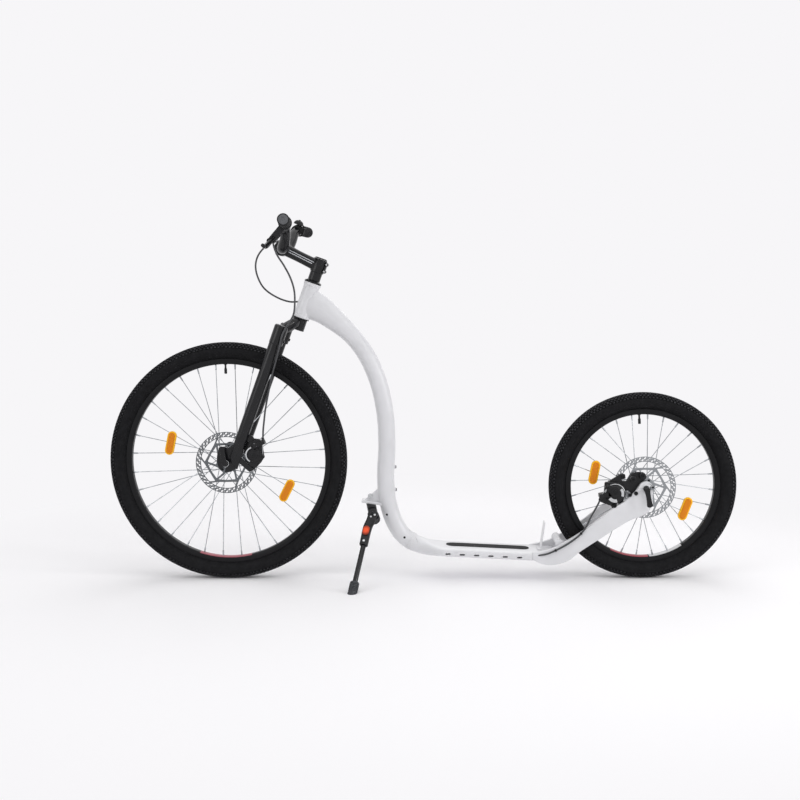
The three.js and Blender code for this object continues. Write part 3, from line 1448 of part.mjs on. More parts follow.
const ends = [
  { side: "front", axle: frontAxle, thickness: forkEndThickness, brake: frontCaliperAngle,
    release: frontReleaseAngle },
  { side: "rear", axle: rearAxle, thickness: armThickness, brake: rearCaliperAngle,
    release: rearReleaseAngle },
];
for (const { side, axle, thickness, brake, release } of ends) {
  const centre = new THREE.Group();
  centre.position.copy(axle);
  kickBike.add(centre);
  piece(centre, `${side}_axle`, axleSet(thickness), blackAlloy);
  piece(centre, `${side}_release_lever`, releaseLever(release), blackAlloy).position.y = releaseY(thickness);
  piece(centre, `${side}_brake_caliper`, caliperBody(), blackAlloy).rotation.y = -brake;
  piece(centre, `${side}_brake_arm`, brakeArm(), blackAlloy).rotation.y = -brake;
}

piece(steering, "fork_crown", forkCrown(), blackAlloy);
piece(steering, "left_fork_leg", forkLeg(-1), blackAlloy);
piece(steering, "right_fork_leg", forkLeg(1), blackAlloy);
piece(steering, "headset_cover", headsetCover(), blackAlloy);
piece(steering, "stem_spacer", post(ringProfile(steererRadius + gap, spacerRadius, coverTop + gap,
  coverTop + gap + spacerHeight), headFacets), blackAlloy);
piece(steering, "stem", stemBody(), blackAlloy);
piece(steering, "stem_face_plate", facePlate(), blackAlloy);
piece(steering, "stem_top_cap", post([[0, stemTop + gap], [topCapRadius, stemTop + gap],
  [topCapRadius, stemTop + topCapHeight], [0, stemTop + topCapHeight]], headFacets), blackAlloy);
piece(steering, "handlebar", bar(0), blackAlloy);
piece(steering, "right_grip", handGrip(), blackRubber);
piece(steering, "left_grip", mirrored(handGrip()), blackRubber);
piece(steering, "right_lever_perch", perch(), blackAlloy);
piece(steering, "left_lever_perch", mirrored(perch()), blackAlloy);
piece(steering, "right_brake_lever", brakeLever(), blackAlloy);
piece(steering, "left_brake_lever", mirrored(brakeLever()), blackAlloy);
piece(steering, "bell", bell(), blackPlastic);
piece(steering, "bell_striker", striker(), blackPlastic);

const stand = new THREE.Group();
stand.position.set(...standPivot);
stand.quaternion.setFromRotationMatrix(standTurn);
kickBike.add(stand);
piece(kickBike, "stand_head", standHead(), blackAlloy);
piece(stand, "stand_leg", standLeg(), blackAlloy);
piece(stand, "stand_button", standButton(0), buttonRed);
piece(stand, "stand_lower_leg", standRod(), blackAlloy);
piece(kickBike, "stand_foot", standFoot(), greyRubber);

piece(kickBike, "rear_cable_loop", rearLoop(), blackRubber);
piece(kickBike, "rear_brake_cable", rearRun(0), blackRubber);
piece(kickBike, "front_brake_cable", frontRun(), blackRubber);

export default kickBike;
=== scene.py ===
"""Kick bike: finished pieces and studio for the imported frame. Run as a script, it builds the whole scene."""

import bmesh
import bpy
import numpy as np
from mathutils import Matrix, Vector


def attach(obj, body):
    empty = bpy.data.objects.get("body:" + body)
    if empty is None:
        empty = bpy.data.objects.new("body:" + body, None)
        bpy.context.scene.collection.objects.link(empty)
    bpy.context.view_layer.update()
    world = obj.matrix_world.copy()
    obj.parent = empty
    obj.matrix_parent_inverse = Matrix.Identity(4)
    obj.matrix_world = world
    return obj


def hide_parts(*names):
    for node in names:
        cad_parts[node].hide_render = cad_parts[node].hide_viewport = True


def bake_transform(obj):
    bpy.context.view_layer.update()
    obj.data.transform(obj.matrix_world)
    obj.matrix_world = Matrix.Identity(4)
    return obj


bl_info = {
    "name": "Kick bike",
    "version": (1, 0, 0),
    "blender": (4, 5, 0),
    "location": "View3D > Sidebar > Kick bike",
    "description": "Finished pieces and studio for a kick bike with disc brakes",
    "category": "Object",
}

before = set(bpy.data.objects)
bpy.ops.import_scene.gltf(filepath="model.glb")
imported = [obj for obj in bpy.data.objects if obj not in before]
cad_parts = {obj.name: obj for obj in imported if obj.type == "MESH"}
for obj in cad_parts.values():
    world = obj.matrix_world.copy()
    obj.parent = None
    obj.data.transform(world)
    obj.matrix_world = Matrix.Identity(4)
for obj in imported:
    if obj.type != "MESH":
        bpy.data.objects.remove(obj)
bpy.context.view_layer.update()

# Sizes are in millimetres, counted rearwards from the front axle, and turned to metres when a mesh is made
MM = 0.001
ORIGIN_X = 539.0  # the middle of the machine
FRONT_AXLE = np.array([0.0, 0.0, 331.0])
REAR_AXLE = np.array([1150.0, 0.0, 259.0])
RAKE = np.radians(20)
TURN = 2 * np.pi
SEAT = 46.0  # height of the tyre over the rim
HEAD_TOP = 547.0  # upper face of the head tube's cup, along the steering axis
DROPOUTS = 50.0  # from the middle plane to the inner face of a dropout
GAP = 0.3  # left between pieces that sit on each other
LEFT = (0, -1, 0)  # the way out of the machine's left side
HERE = np.eye(4)  # for shapes that already stand in their place


# ---------------------------------------------------------------- places

def shift(x, y, z):
    """Matrix that moves by x, y, z."""
    m = np.eye(4)
    m[:3, 3] = (x, y, z)
    return m


def basis(origin, x_axis, y_axis, z_axis):
    """Matrix whose columns are three unit axes and an origin."""
    m = np.eye(4)
    for i, axis in enumerate((x_axis, y_axis, z_axis)):
        m[:3, i] = np.asarray(axis, float) / np.linalg.norm(axis)
    m[:3, 3] = origin
    return m


def aim(origin, direction):
    """Matrix with its origin at a point and its Z along a direction; X and Y are the cross products that
    follow."""
    z = np.asarray(direction, float) / np.linalg.norm(direction)
    helper = np.array([0.0, 1.0, 0.0]) if abs(z[1]) < 0.9 else np.array([1.0, 0.0, 0.0])
    x = np.cross(helper, z)
    return basis(origin, x, np.cross(z, x / np.linalg.norm(x)), z)


def turned(angle, origin=(0, 0, 0)):
    """Matrix that turns X towards Z by an angle, about an origin."""
    c, s = np.cos(angle), np.sin(angle)
    return basis(origin, (c, 0, s), (0, 1, 0), (-s, 0, c))


def outward(x, z):
    """Matrix at a place in X and Z, with its Z along the way out of the left side."""
    return basis((x, 0, z), (1, 0, 0), (0, 0, 1), LEFT)


def at(matrix, points):
    """Points carried by a matrix: rotation times point plus origin."""
    return np.asarray(points, float) @ matrix[:3, :3].T + matrix[:3, 3]


def metres(points):
    """Points in millimetres from the front axle, as metres from the middle of the machine."""
    return (np.asarray(points, float) - [ORIGIN_X, 0, 0]) * MM


STEER = basis(
    (58 * np.cos(RAKE), 0, 331 - 58 * np.sin(RAKE)),
    (np.cos(RAKE), 0, -np.sin(RAKE)), (0, 1, 0), (np.sin(RAKE), 0, np.cos(RAKE)))
FRONT = shift(*FRONT_AXLE)
REAR = shift(*REAR_AXLE)
ABOUT_Y = basis((0, 0, 0), (1, 0, 0), (0, 0, -1), (0, 1, 0))


# ---------------------------------------------------------------- curves and outlines

def spline(points, count, even=True):
    """Centripetal Catmull-Rom curve: cubic between each two points, its tangents weighed by the square root
    of the distances. The result has count points at even lengths."""
    p = np.asarray(points, float)
    p = np.vstack([2 * p[0] - p[1], p, 2 * p[-1] - p[-2]])
    knots = np.maximum(np.sqrt(np.linalg.norm(np.diff(p, axis=0), axis=1)), 1e-4)
    u = np.linspace(0, len(points) - 1, max(count * 8, 400))
    i = np.minimum(u.astype(int), len(points) - 2)
    t = (u - i)[:, None]
    a, b, c, d = p[i], p[i + 1], p[i + 2], p[i + 3]
    k0, k1, k2 = knots[i][:, None], knots[i + 1][:, None], knots[i + 2][:, None]
    m1 = ((b - a) / k0 - (c - a) / (k0 + k1) + (c - b) / k1) * k1
    m2 = ((c - b) / k1 - (d - b) / (k1 + k2) + (d - c) / k2) * k1
    fine = b + m1 * t + (3 * (c - b) - 2 * m1 - m2) * t**2 + (2 * (b - c) + m1 + m2) * t**3
    return spaced(fine, count) if even else fine


def running(line):
    """Length along a line from its start to each of its points."""
    return np.concatenate([[0], np.cumsum(np.linalg.norm(np.diff(line, axis=0), axis=1))])


def spaced(line, count):
    """A line cut again at even lengths along it, by linear interpolation of its running length."""
    run = running(line)
    where = np.linspace(0, run[-1], count)
    return np.stack([np.interp(where, run, line[:, k]) for k in range(line.shape[1])], 1)


def eased(value, low, high):
    """A smooth step from 0 at low to 1 at high: its share of the way squared, times three less twice the
    share."""
    share = np.clip((value - low) / (high - low), 0, 1)
    return share * share * (3 - 2 * share)


def arc(cx, cy, radius, start, end, steps):
    """Points round an arc: centre plus radius times cosine and sine."""
    a = np.linspace(start, end, steps)
    return np.stack([cx + radius * np.cos(a), cy + radius * np.sin(a)], 1)


def hole(cx, cy, radius, steps):
    """A closed circle of points, the last one left out because it meets the first."""
    return arc(cx, cy, radius, 0, TURN, steps)[:-1]


def polar(pairs):
    """Points given as radius and angle."""
    return np.array([(r * np.cos(a), r * np.sin(a)) for r, a in pairs])


def box(left, low, right, high):
    """Corners of a rectangle, in order round it."""
    return [(left, low), (right, low), (right, high), (left, high)]


def fillet(points, radius, steps=4, closed=False):
    """A polyline whose corners are rounded: each corner gives way to a quadratic curve from radius before it
    to radius after it, never past the middle of a side."""
    p = np.asarray(points, float)
    radius = np.broadcast_to(radius, len(p))
    before, after = np.roll(p, 1, 0), np.roll(p, -1, 0)
    out = []
    for i, corner in enumerate(p):
        if (not closed and i in (0, len(p) - 1)) or radius[i] <= 0:
            out.append(corner[None])
            continue
        legs = [side - corner for side in (before[i], after[i])]
        cuts = [min(radius[i] / max(np.linalg.norm(leg), 1e-9), 0.5) for leg in legs]
        t = np.linspace(0, 1, steps + 1)[:, None]
        first, last = corner + legs[0] * cuts[0], corner + legs[1] * cuts[1]
        out.append(first * (1 - t) ** 2 + corner * 2 * t * (1 - t) + last * t**2)
    return np.vstack(out)


def link(a, ra, b, rb, steps=16):
    """Outline round two discs joined by their outer tangents, whose angle off the line is the arc cosine of
    the difference of the radii over the distance."""
    a, b = np.asarray(a, float), np.asarray(b, float)
    heading = np.arctan2(*(b - a)[::-1])
    flank = np.arccos((ra - rb) / np.linalg.norm(b - a))
    return np.vstack([
        arc(*a, ra, heading + flank, heading + TURN - flank, steps),
        arc(*b, rb, heading - flank, heading + flank, steps)])


def inset(outline, distance):
    """A closed outline moved inwards along its own normals, the tangents turned a quarter."""
    tangent = np.roll(outline, -1, 0) - np.roll(outline, 1, 0)
    tangent /= np.maximum(np.linalg.norm(tangent, axis=1, keepdims=True), 1e-9)
    area = np.sum(outline[:, 0] * np.roll(outline[:, 1], -1) - np.roll(outline[:, 0], -1) * outline[:, 1])
    normal = np.stack([-tangent[:, 1], tangent[:, 0]], 1) * np.sign(area)
    return outline + normal * distance


# -------------------------------------------------------------- shapes: corners, face corners and face sizes

def grid(points, wrap_rows=False, wrap_columns=True, caps=False):
    """Skin over a grid of points: each cell is one quad of its four neighbours. Caps close the first and last
    row."""
    rows, columns = points.shape[:2]
    index = np.arange(rows * columns).reshape(rows, columns)
    down = np.roll(index, -1, 0) if wrap_rows else index[1:]
    index_here = index if wrap_rows else index[:-1]
    right = np.roll(index_here, -1, 1)
    down_right = np.roll(down, -1, 1)
    quads = np.stack([index_here, right, down_right, down], -1)
    if not wrap_columns:
        quads = quads[:, :-1]
    corners, sizes = quads.reshape(-1), np.full(quads[..., 0].size, 4)
    if caps:
        corners = np.concatenate([corners, index[0][::-1], index[-1]])
        sizes = np.concatenate([sizes, [columns, columns]])
    return points.reshape(-1, 3), corners, sizes


def lathe(profile, matrix, steps=48, start=0.0, end=TURN, closed=False):
    """Turned shape: each pair of radius and height goes round the Z axis of the matrix. Closed joins the last
    pair to the first, as in a ring."""
    profile = np.asarray(profile, float)
    whole = abs(end - start - TURN) < 1e-6
    a = np.linspace(start, end, steps, endpoint=not whole)
    r, h = profile[:, 0][:, None], profile[:, 1][:, None]
    points = np.stack([r * np.cos(a), r * np.sin(a), np.broadcast_to(h, (len(profile), steps))], -1)
    if whole:
        return grid(at(matrix, points), wrap_rows=closed)
    return grid(at(matrix, np.swapaxes(points, 0, 1)), wrap_columns=True, caps=True)


def raised(outline, height):
    """An outline in X and Z, set at a height along Y."""
    return np.stack([outline[:, 0], np.full(len(outline), height), outline[:, 1]], 1)


def plate(outline, low, high, edge, matrix=HERE, steps=3):
    """A plate from an outline in X and Z of the matrix, thick along its Y from low to high. Its edge is a
    quarter round: inset by edge times one minus sine as it rises by edge times one minus cosine."""
    outline = np.asarray(outline, float)
    a = np.linspace(0, np.pi / 2, steps + 1)
    rise, draw = edge * (1 - np.cos(a)), edge * (1 - np.sin(a))
    levels = [(low + r, d) for r, d in zip(rise, draw)]
    levels += [(high - r, d) for r, d in zip(rise[::-1], draw[::-1])]
    rings = [raised(inset(outline, distance), height) for height, distance in levels]
    return grid(at(matrix, np.array(rings)), caps=True)


def units(vectors):
    """Vectors brought to length one."""
    return vectors / np.linalg.norm(vectors, axis=1, keepdims=True)


def bar_frames(path, up):
    """Side and rise directions along a path: the side is the cross product of the tangent and a fixed up."""
    tangent = units(np.gradient(path, axis=0))
    side = units(np.cross(tangent, up))
    return side, np.cross(side, tangent)


def rolling_frames(path):
    """Side and rise directions that turn as little as they can: each side is the last one less its part along
    the new tangent."""
    tangent = units(np.gradient(path, axis=0))
    side = np.empty_like(path)
    last = np.cross(tangent[0], [0.3, 0.9, 0.2])
    for i, t in enumerate(tangent):
        last = last - t * np.dot(last, t)
        last /= np.linalg.norm(last)
        side[i] = last
    return side, np.cross(side, tangent)


def sweep(path, wide, tall, matrix=HERE, square=2.0, sides=24, up=None):
    """A section carried along a path. The section is a superellipse: its half width times the cosine, and its
    half height times the sine, each to the power of two over square."""
    side, rise = rolling_frames(path) if up is None else bar_frames(path, np.asarray(up, float))
    a = np.linspace(0, TURN, sides, endpoint=False)
    wide, tall, square = (np.broadcast_to(np.asarray(v, float), len(path))[:, None]
                          for v in (wide, tall, square))
    across = wide * np.sign(np.cos(a)) * np.abs(np.cos(a)) ** (2 / square)
    over = tall * np.sign(np.sin(a)) * np.abs(np.sin(a)) ** (2 / square)
    points = path[:, None] + across[..., None] * side[:, None] + over[..., None] * rise[:, None]
    return grid(at(matrix, points), caps=True)


def rod(start, end, radius, matrix=HERE, edge=0.6, steps=32):
    """A round bar between two points with chamfered ends."""
    start, end = at(matrix, start), at(matrix, end)
    length = np.linalg.norm(end - start)
    profile = [(0, 0), (radius - edge, 0), (radius, edge), (radius, length - edge), (radius - edge, length),
               (0, length)]
    return lathe(profile, aim(start, end - start), steps)


def socket_bolt(point, direction, r, height, matrix=HERE):
    """Head of a socket bolt: a turned head with a hexagonal hollow, whose radius steps in and whose floor is
    flat."""
    profile = [(0, 0), (r, 0), (r, height * 0.75), (r * 0.86, height), (r * 0.56, height),
               (r * 0.5, height * 0.9), (r * 0.48, height * 0.35), (0, height * 0.35)]
    return lathe(profile, matrix @ aim(point, direction), 18)


def merged(shapes):
    """Several shapes as one: corner numbers are moved up by the corners before them."""
    starts = np.cumsum([0] + [len(s[0]) for s in shapes[:-1]])
    return (np.concatenate([s[0] for s in shapes]),
            np.concatenate([s[1] + n for s, n in zip(shapes, starts)]),
            np.concatenate([s[2] for s in shapes]))


def piece(name, shapes, material, body, node=None, slot=None, smooth=38, closed=True, worn=None):
    """Puts shapes into one mesh, in metres, and hangs it on its body. Poles are welded, faces turned
    outwards, and edges sharper than smooth degrees stay sharp. The last argument is a value per corner that
    its material may read, to place a painted highlight."""
    corners, loops, sizes = merged(shapes if isinstance(shapes, list) else [shapes])
    mesh = bpy.data.meshes.new(name)
    mesh.vertices.add(len(corners))
    mesh.vertices.foreach_set("co", metres(corners).astype(np.float32).ravel())
    mesh.loops.add(len(loops))
    mesh.loops.foreach_set("vertex_index", loops.astype(np.int32))
    mesh.polygons.add(len(sizes))
    mesh.polygons.foreach_set("loop_start", np.concatenate([[0], np.cumsum(sizes)[:-1]]).astype(np.int32))
    mesh.update(calc_edges=True)
    if worn is not None:
        mesh.attributes.new("worn", "FLOAT", "POINT").data.foreach_set("value", worn.astype(np.float32))
    tidy(mesh, closed)
    return finished(name, mesh, material, body, node, slot, smooth)


def tidy(mesh, closed=True):
    """Welds doubled corners, drops flattened faces and turns the faces of each closed shell outwards."""
    work = bmesh.new()
    work.from_mesh(mesh)
    bmesh.ops.remove_doubles(work, verts=work.verts, dist=2e-6)
    bmesh.ops.dissolve_degenerate(work, edges=work.edges, dist=1e-7)
    if closed:
        bmesh.ops.recalc_face_normals(work, faces=work.faces)
    work.to_mesh(mesh)
    work.free()


# Colour group of each finish. A piece of any other finish names its own, or has none.
SLOTS = {
    "powder_coated_alloy_white": "frame_paint", "powder_coated_weld_bead": "frame_paint",
    "anodised_aluminium_black": "black_alloy", "enamelled_steel_black": "black_alloy",
    "cast_aluminium_black": "black_alloy", "anodised_rim_front": "black_alloy",
    "anodised_rim_rear": "black_alloy",
    "ground_stainless_front": "bright_steel", "ground_stainless_rear": "bright_steel",
    "drawn_stainless": "bright_steel", "turned_aluminium": "bright_steel", "steel_wire_rope": "bright_steel",
    "moulded_tyre_rubber": "tread_rubber", "extruded_cable_pvc": "black_plastic",
    "moulded_acrylic_yellow": "amber_plastic", "prismatic_acrylic_amber": "amber_plastic"}


def finished(name, mesh, material, body, node=None, slot=None, smooth=38):
    """Shades, names and hangs a mesh on its body, in place of a node where one is given."""
    mesh.polygons.foreach_set("use_smooth", np.ones(len(mesh.polygons), bool))
    mesh.set_sharp_from_angle(angle=np.radians(smooth))
    made = bpy.data.objects.new(name, mesh)
    bpy.context.scene.collection.objects.link(made)
    mesh.materials.append(bpy.data.materials[material])
    slot = slot or SLOTS.get(material)
    if body:
        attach(made, body)
    if node:
        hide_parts(node)
    return made


def refined(node, material, body, bevel, angle=34):
    """A piece from a node's own solid: corners welded, flat faces joined and every edge rounded by a
    bevel."""
    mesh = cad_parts[node].data.copy()
    mesh.materials.clear()
    work = bmesh.new()
    work.from_mesh(mesh)
    bmesh.ops.remove_doubles(work, verts=work.verts, dist=2e-6)
    bmesh.ops.dissolve_limit(work, angle_limit=np.radians(1.5), verts=work.verts, edges=work.edges)
    work.to_mesh(mesh)
    work.free()
    made = finished(f"{node}_piece", mesh, material, body, node, None, angle)
    rounding = made.modifiers.new("Rounded edges", "BEVEL")
    rounding.width, rounding.segments, rounding.limit_method = bevel * MM, 2, "ANGLE"
    rounding.angle_limit, rounding.use_clamp_overlap = np.radians(angle), True
    return made


def drilled(made, cutters):
    """Cuts shapes out of a finished piece, as a drill or a mill does, and keeps the result as its mesh."""
    corners, loops, sizes = merged(cutters)
    mesh = bpy.data.meshes.new("cutter")
    starts = np.concatenate([[0], np.cumsum(sizes)])
    mesh.from_pydata(metres(corners), [], [loops[a:b].tolist() for a, b in zip(starts[:-1], starts[1:])])
    tidy(mesh)
    tool = bpy.data.objects.new("cutter", mesh)
    bpy.context.scene.collection.objects.link(tool)
    cut = made.modifiers.new("Cut", "BOOLEAN")
    cut.object, cut.operation, cut.solver = tool, "DIFFERENCE", "EXACT"
    bpy.context.view_layer.update()
    result = bpy.data.meshes.new_from_object(made.evaluated_get(bpy.context.evaluated_depsgraph_get()))
    made.modifiers.remove(cut)
    made.data = result
    result.set_sharp_from_angle(angle=np.radians(38))
    bpy.data.objects.remove(tool)
    return made


# ---------------------------------------------------------------- materials

def linear(code, alpha=1.0):
    """sRGB hex as linear colour: the low part over 12.92, the rest plus 0.055 over 1.055 to the power 2.4."""
    s = np.array([int(code[i:i + 2], 16) for i in (1, 3, 5)]) / 255
    return (*np.where(s <= 0.04045, s / 12.92, ((s + 0.055) / 1.055) ** 2.4), alpha)


def add(tree, kind, inputs=None, **settings):
    """Adds a node: settings are its own values, and inputs are values or links by socket name or number."""
    made = tree.nodes.new(kind)
    for key, value in settings.items():
        setattr(made, key, value)
    for key, value in (inputs or {}).items():
        if isinstance(value, bpy.types.NodeSocket):
            tree.links.new(value, made.inputs[key])
        else:
            made.inputs[key].default_value = value
    return made


def surface(name, shader, colour=None, roughness=None, bump=None):
    """A material with one Principled shader. Colour and roughness may be links; bump is (height link,
    strength, distance in metres)."""
    material = bpy.data.materials.new(name)
    material.use_nodes = True
    tree = material.node_tree
    tree.nodes.clear()
    main = add(tree, "ShaderNodeBsdfPrincipled", shader)
    add(tree, "ShaderNodeOutputMaterial", {"Surface": main.outputs[0]})
    build = {"tree": tree, "main": main, "coords": add(tree, "ShaderNodeTexCoord").outputs["Object"]}
    if colour:
        tree.links.new(colour(build), main.inputs["Base Color"])
    if roughness:
        tree.links.new(roughness(build), main.inputs["Roughness"])
    if bump:
        height, strength, distance = bump
        made = add(tree, "ShaderNodeBump", {"Height": height(build), "Strength": strength,
                                            "Distance": distance})
        tree.links.new(made.outputs[0], main.inputs["Normal"])
    return material


def noise(size_mm, detail=3.0, rough=0.55):
    """Noise whose grains are about size_mm across."""
    return lambda b: add(b["tree"], "ShaderNodeTexNoise", {
        "Vector": b["coords"], "Scale": 1000 / size_mm, "Detail": detail, "Roughness": rough}).outputs["Fac"]


def between(source, low, high, start=0.3, end=0.7):
    """A source stretched from start and end to two values or two hex colours."""
    def make(b):
        if isinstance(low, str):
            share = add(b["tree"], "ShaderNodeMapRange",
                        {"Value": source(b), "From Min": start, "From Max": end})
            mix = add(b["tree"], "ShaderNodeMix", {
                "Factor": share.outputs[0], "A": linear(low), "B": linear(high)}, data_type="RGBA")
            return mix.outputs["Result"]
        return add(b["tree"], "ShaderNodeMapRange", {
            "Value": source(b), "From Min": start, "From Max": end, "To Min": low, "To Max": high}).outputs[0]
    return make


def rings(origin, pitch_mm):
    """Fine turned grooves round an axle: noise read along the distance from the axle, with grains of one
    pitch."""
    def make(b):
        tree = b["tree"]
        middle = add(tree, "ShaderNodeMapping",
                     {"Vector": b["coords"], "Location": origin, "Scale": (1, 0, 1)})
        away = add(tree, "ShaderNodeVectorMath", {0: middle.outputs[0]}, operation="LENGTH").outputs["Value"]
        line = add(tree, "ShaderNodeCombineXYZ", {"X": away})
        return add(tree, "ShaderNodeTexNoise", {
            "Vector": line.outputs[0], "Scale": 1000 / pitch_mm, "Detail": 2.0}).outputs["Fac"]
    return make


def code_of(colour):
    """A linear colour as sRGB hex, the reverse of linear."""
    return "#%02x%02x%02x" % tuple(
        round(255 * (12.92 * c if c <= 0.0031308 else 1.055 * c ** (1 / 2.4) - 0.055)) for c in colour[:3])


def make_materials(looks):
    """All finishes of the machine, each named for what the real one is made of. A row gives the shader's
    values, then the grain, detail and two colours of its tone, the grain and range of its roughness, and the
    grain, detail, strength and depth of its relief. Grains are in millimetres."""
    paint, alloy = code_of(looks.frame_colour), code_of(looks.alloy_colour)
    amber, button = code_of(looks.reflector_colour), code_of(looks.button_colour)
    for name, shader, (grain, detail, dark, pale), rough, relief in (
            # Powder coat melts into a skin with a faint orange peel of about 2 mm and shades a little
            ("powder_coated_alloy_white", {"Roughness": 0.34, "Coat Weight": 0.25, "Coat Roughness": 0.18},
             (60, 2, paint, shade(paint, 0.972)), (9, 0.30, 0.40), (2.2, 1, 0.05, 0.0004)),
            # Weld beads under the same coat are a little rougher
            ("powder_coated_weld_bead", {"Roughness": 0.4, "Coat Weight": 0.2},
             (3, 2, shade(paint, 0.93), paint), None, (2.0, 1, 0.2, 0.0006)),
            # Polished aluminium under a black anodic layer: glossy, its fine grain drawn at 0.7 mm
            ("anodised_aluminium_black", {"Roughness": 0.2, "Specular IOR Level": 0.3},
             (25, 2, alloy, shade(alloy, 1.3)), (6, 0.15, 0.24), (0.7, 1, 0.03, 0.0001)),
            # Gloss black enamel on the fork: a clear reflection and slight waves
            ("enamelled_steel_black", {"Roughness": 0.18, "Specular IOR Level": 0.3},
             (40, 2, alloy, shade(alloy, 1.35)), (14, 0.14, 0.22), (5, 1, 0.03, 0.0004)),
            # Die-cast caliper: shot-blasted and e-coated black, so its skin is grainy
            ("cast_aluminium_black", {"Roughness": 0.34, "Specular IOR Level": 0.3},
             (4, 3, shade(alloy, 0.8), shade(alloy, 1.5)), (2, 0.3, 0.5), (1.2, 2, 0.2, 0.0003)),
            # Drawn stainless spokes are bright with a soft streak
            ("drawn_stainless", {"Metallic": 1.0, "Roughness": 0.28},
             (15, 2, "#8f9295", "#b2b5b8"), (4, 0.22, 0.34), None),
            # Turned and polished aluminium hub shell
            ("turned_aluminium", {"Metallic": 1.0, "Roughness": 0.3},
             (20, 2, "#a9acb0", "#c9cbce"), (3, 0.26, 0.38), (0.8, 1, 0.06, 0.0002)),
            # Zinc-plated bolts
            ("zinc_plated_steel", {"Metallic": 1.0, "Roughness": 0.3},
             (3, 3, "#b9bbbd", "#d9dadb"), (1.5, 0.24, 0.4), None),
            # Blackened bolts and small steel parts
            ("blackened_steel", {"Metallic": 0.6, "Roughness": 0.42},
             (3, 3, "#141516", "#202224"), (1.5, 0.34, 0.5), None),
            # Soft ribbed grip rubber
            ("moulded_grip_rubber", {"Roughness": 0.6, "Specular IOR Level": 0.22},
             (8, 3, "#101012", "#1a1a1c"), (3, 0.56, 0.76), (0.9, 2, 0.25, 0.0003)),
            # Grey rubber foot, scuffed where it stands
            ("scuffed_grey_rubber", {"Roughness": 0.8, "Specular IOR Level": 0.25},
             (5, 4, "#343538", "#505155"), (3, 0.7, 0.88), (1.2, 3, 0.4, 0.0004)),
            # Grip plug: a lighter grey nylon with a fine spark texture
            ("moulded_grey_nylon", {"Roughness": 0.6, "Specular IOR Level": 0.25},
             (4, 3, "#57585b", "#67686b"), (2, 0.5, 0.7), (0.8, 1, 0.15, 0.0002)),
            # PVC cable housing, extruded: smooth with a soft sheen
            ("extruded_cable_pvc", {"Roughness": 0.42},
             (12, 2, "#303133", "#434447"), (4, 0.36, 0.5), (0.9, 1, 0.06, 0.0002)),
            # Moulded black ABS and nylon with a fine spark texture
            ("moulded_abs_black", {"Roughness": 0.5, "Specular IOR Level": 0.24},
             (5, 3, "#0f0f10", "#19191b"), (2, 0.42, 0.58), (0.8, 1, 0.15, 0.0002)),
            # Back shell of a reflector, moulded acrylic
            ("moulded_acrylic_yellow", {"Roughness": 0.3, "Specular IOR Level": 0.3, "IOR": 1.49},
             (5, 3, "#fbb508", "#ffc61e"), None, (2, 1, 0.1, 0.0003)),
            # Steel wire rope, uncovered between the cable stop and the brake arm
            ("steel_wire_rope", {"Metallic": 1.0, "Roughness": 0.35},
             (0.6, 1, "#7f8286", "#c9cbcd"), None, (0.6, 1, 0.4, 0.0002))):
        surface(name, shader, between(noise(grain, detail), dark, pale),
                rough and between(noise(rough[0]), *rough[1:]),
                relief and (noise(*relief[:2]), *relief[2:]))
    for side, axle, stripes, edge, dark, pale in (
            # the front disc's tones are set darker than the rear's: painted shade, as both discs are the same
            # ground steel
            ("front", FRONT_AXLE, [(-108, -77, "#a8606a")], 0.2722, "#4c4f52", "#7f8285"),
            ("rear", REAR_AXLE, [(-116, -85, "#a8505a"), (-84, -57, "#d2d2d4")], 0.2002, "#7d8083",
             "#a9acaf")):
        origin = tuple(map(float, -metres(axle)))
        # Rim extrusion, anodised black, drawn lengthwise, with plain stripes printed by angle
        rim_material(f"anodised_rim_{side}", "#0c0c0e", stripes, origin, edge)
        # Ground stainless disc: fine turned scratches about the axle
        surface(f"ground_stainless_{side}", {"Metallic": 1.0, "Roughness": 0.34},
                between(rings(origin, 0.9), dark, pale), between(rings(origin, 2.5), 0.28, 0.42),
                (rings(origin, 0.6), 0.12, 0.0002))
    # Carbon-black rubber, moulded: matt, with a painted highlight: the block tops are painted lighter in
    # patches
    surface("moulded_tyre_rubber", {"Roughness": 0.72, "Specular IOR Level": 0.14},
            highlighted_knobs(between(noise(14, 4), "#0e0e10", "#19191b"), "#3c3c3f"), between(noise(5), 0.62, 0.82),
            (noise(1.6, 2), 0.25, 0.0003))
    # Moulded ABS button, red, with painted shade: darker towards its rim, the middle left bright
    surface("moulded_abs_red", {"Roughness": 0.42, "Specular IOR Level": 0.3},
            between(reach(button_middle(), 1000.0), button, shade(button, 0.5), 4.0, 13.0),
            between(noise(2), 0.36, 0.5), (noise(0.8, 1), 0.1, 0.0002))
    # Reflector: amber acrylic over 2.4 mm corner prisms, which show as a small diamond grid
    surface("prismatic_acrylic_amber", {"Roughness": 0.3, "Specular IOR Level": 0.25, "IOR": 1.49},
            between(prisms(2.4), shade(amber, 0.84), amber, 0.1, 0.8), None, (prisms(2.4), 0.4, 0.0006))
    # Grip tape: silicon grit in resin, drawn at 0.9 mm so that the grains show
    surface("gritted_tape_black", {"Roughness": 0.9, "Specular IOR Level": 0.25},
            between(noise(1.2, 4, 0.7), "#0b0b0c", "#232325", 0.35, 0.75), between(noise(1.2), 0.7, 0.95),
            (noise(0.9, 3, 0.7), 0.6, 0.0005))


def highlighted_knobs(ground, highlight_code):
    """A painted highlight: a colour that turns lighter where the corner value read from the mesh is high,
    broken up by noise of 4 mm.
    """
    def make(b):
        tree = b["tree"]
        worn = add(tree, "ShaderNodeAttribute", attribute_name="worn").outputs["Fac"]
        patchy = between(noise(4, 3), 0.0, 1.0, 0.42, 0.6)(b)
        amount = add(tree, "ShaderNodeMath", {0: worn, 1: patchy}, operation="MULTIPLY").outputs[0]
        mix = add(tree, "ShaderNodeMix", {"Factor": amount, "A": ground(b), "B": linear(highlight_code)},
                  data_type="RGBA")
        return mix.outputs["Result"]
    return make


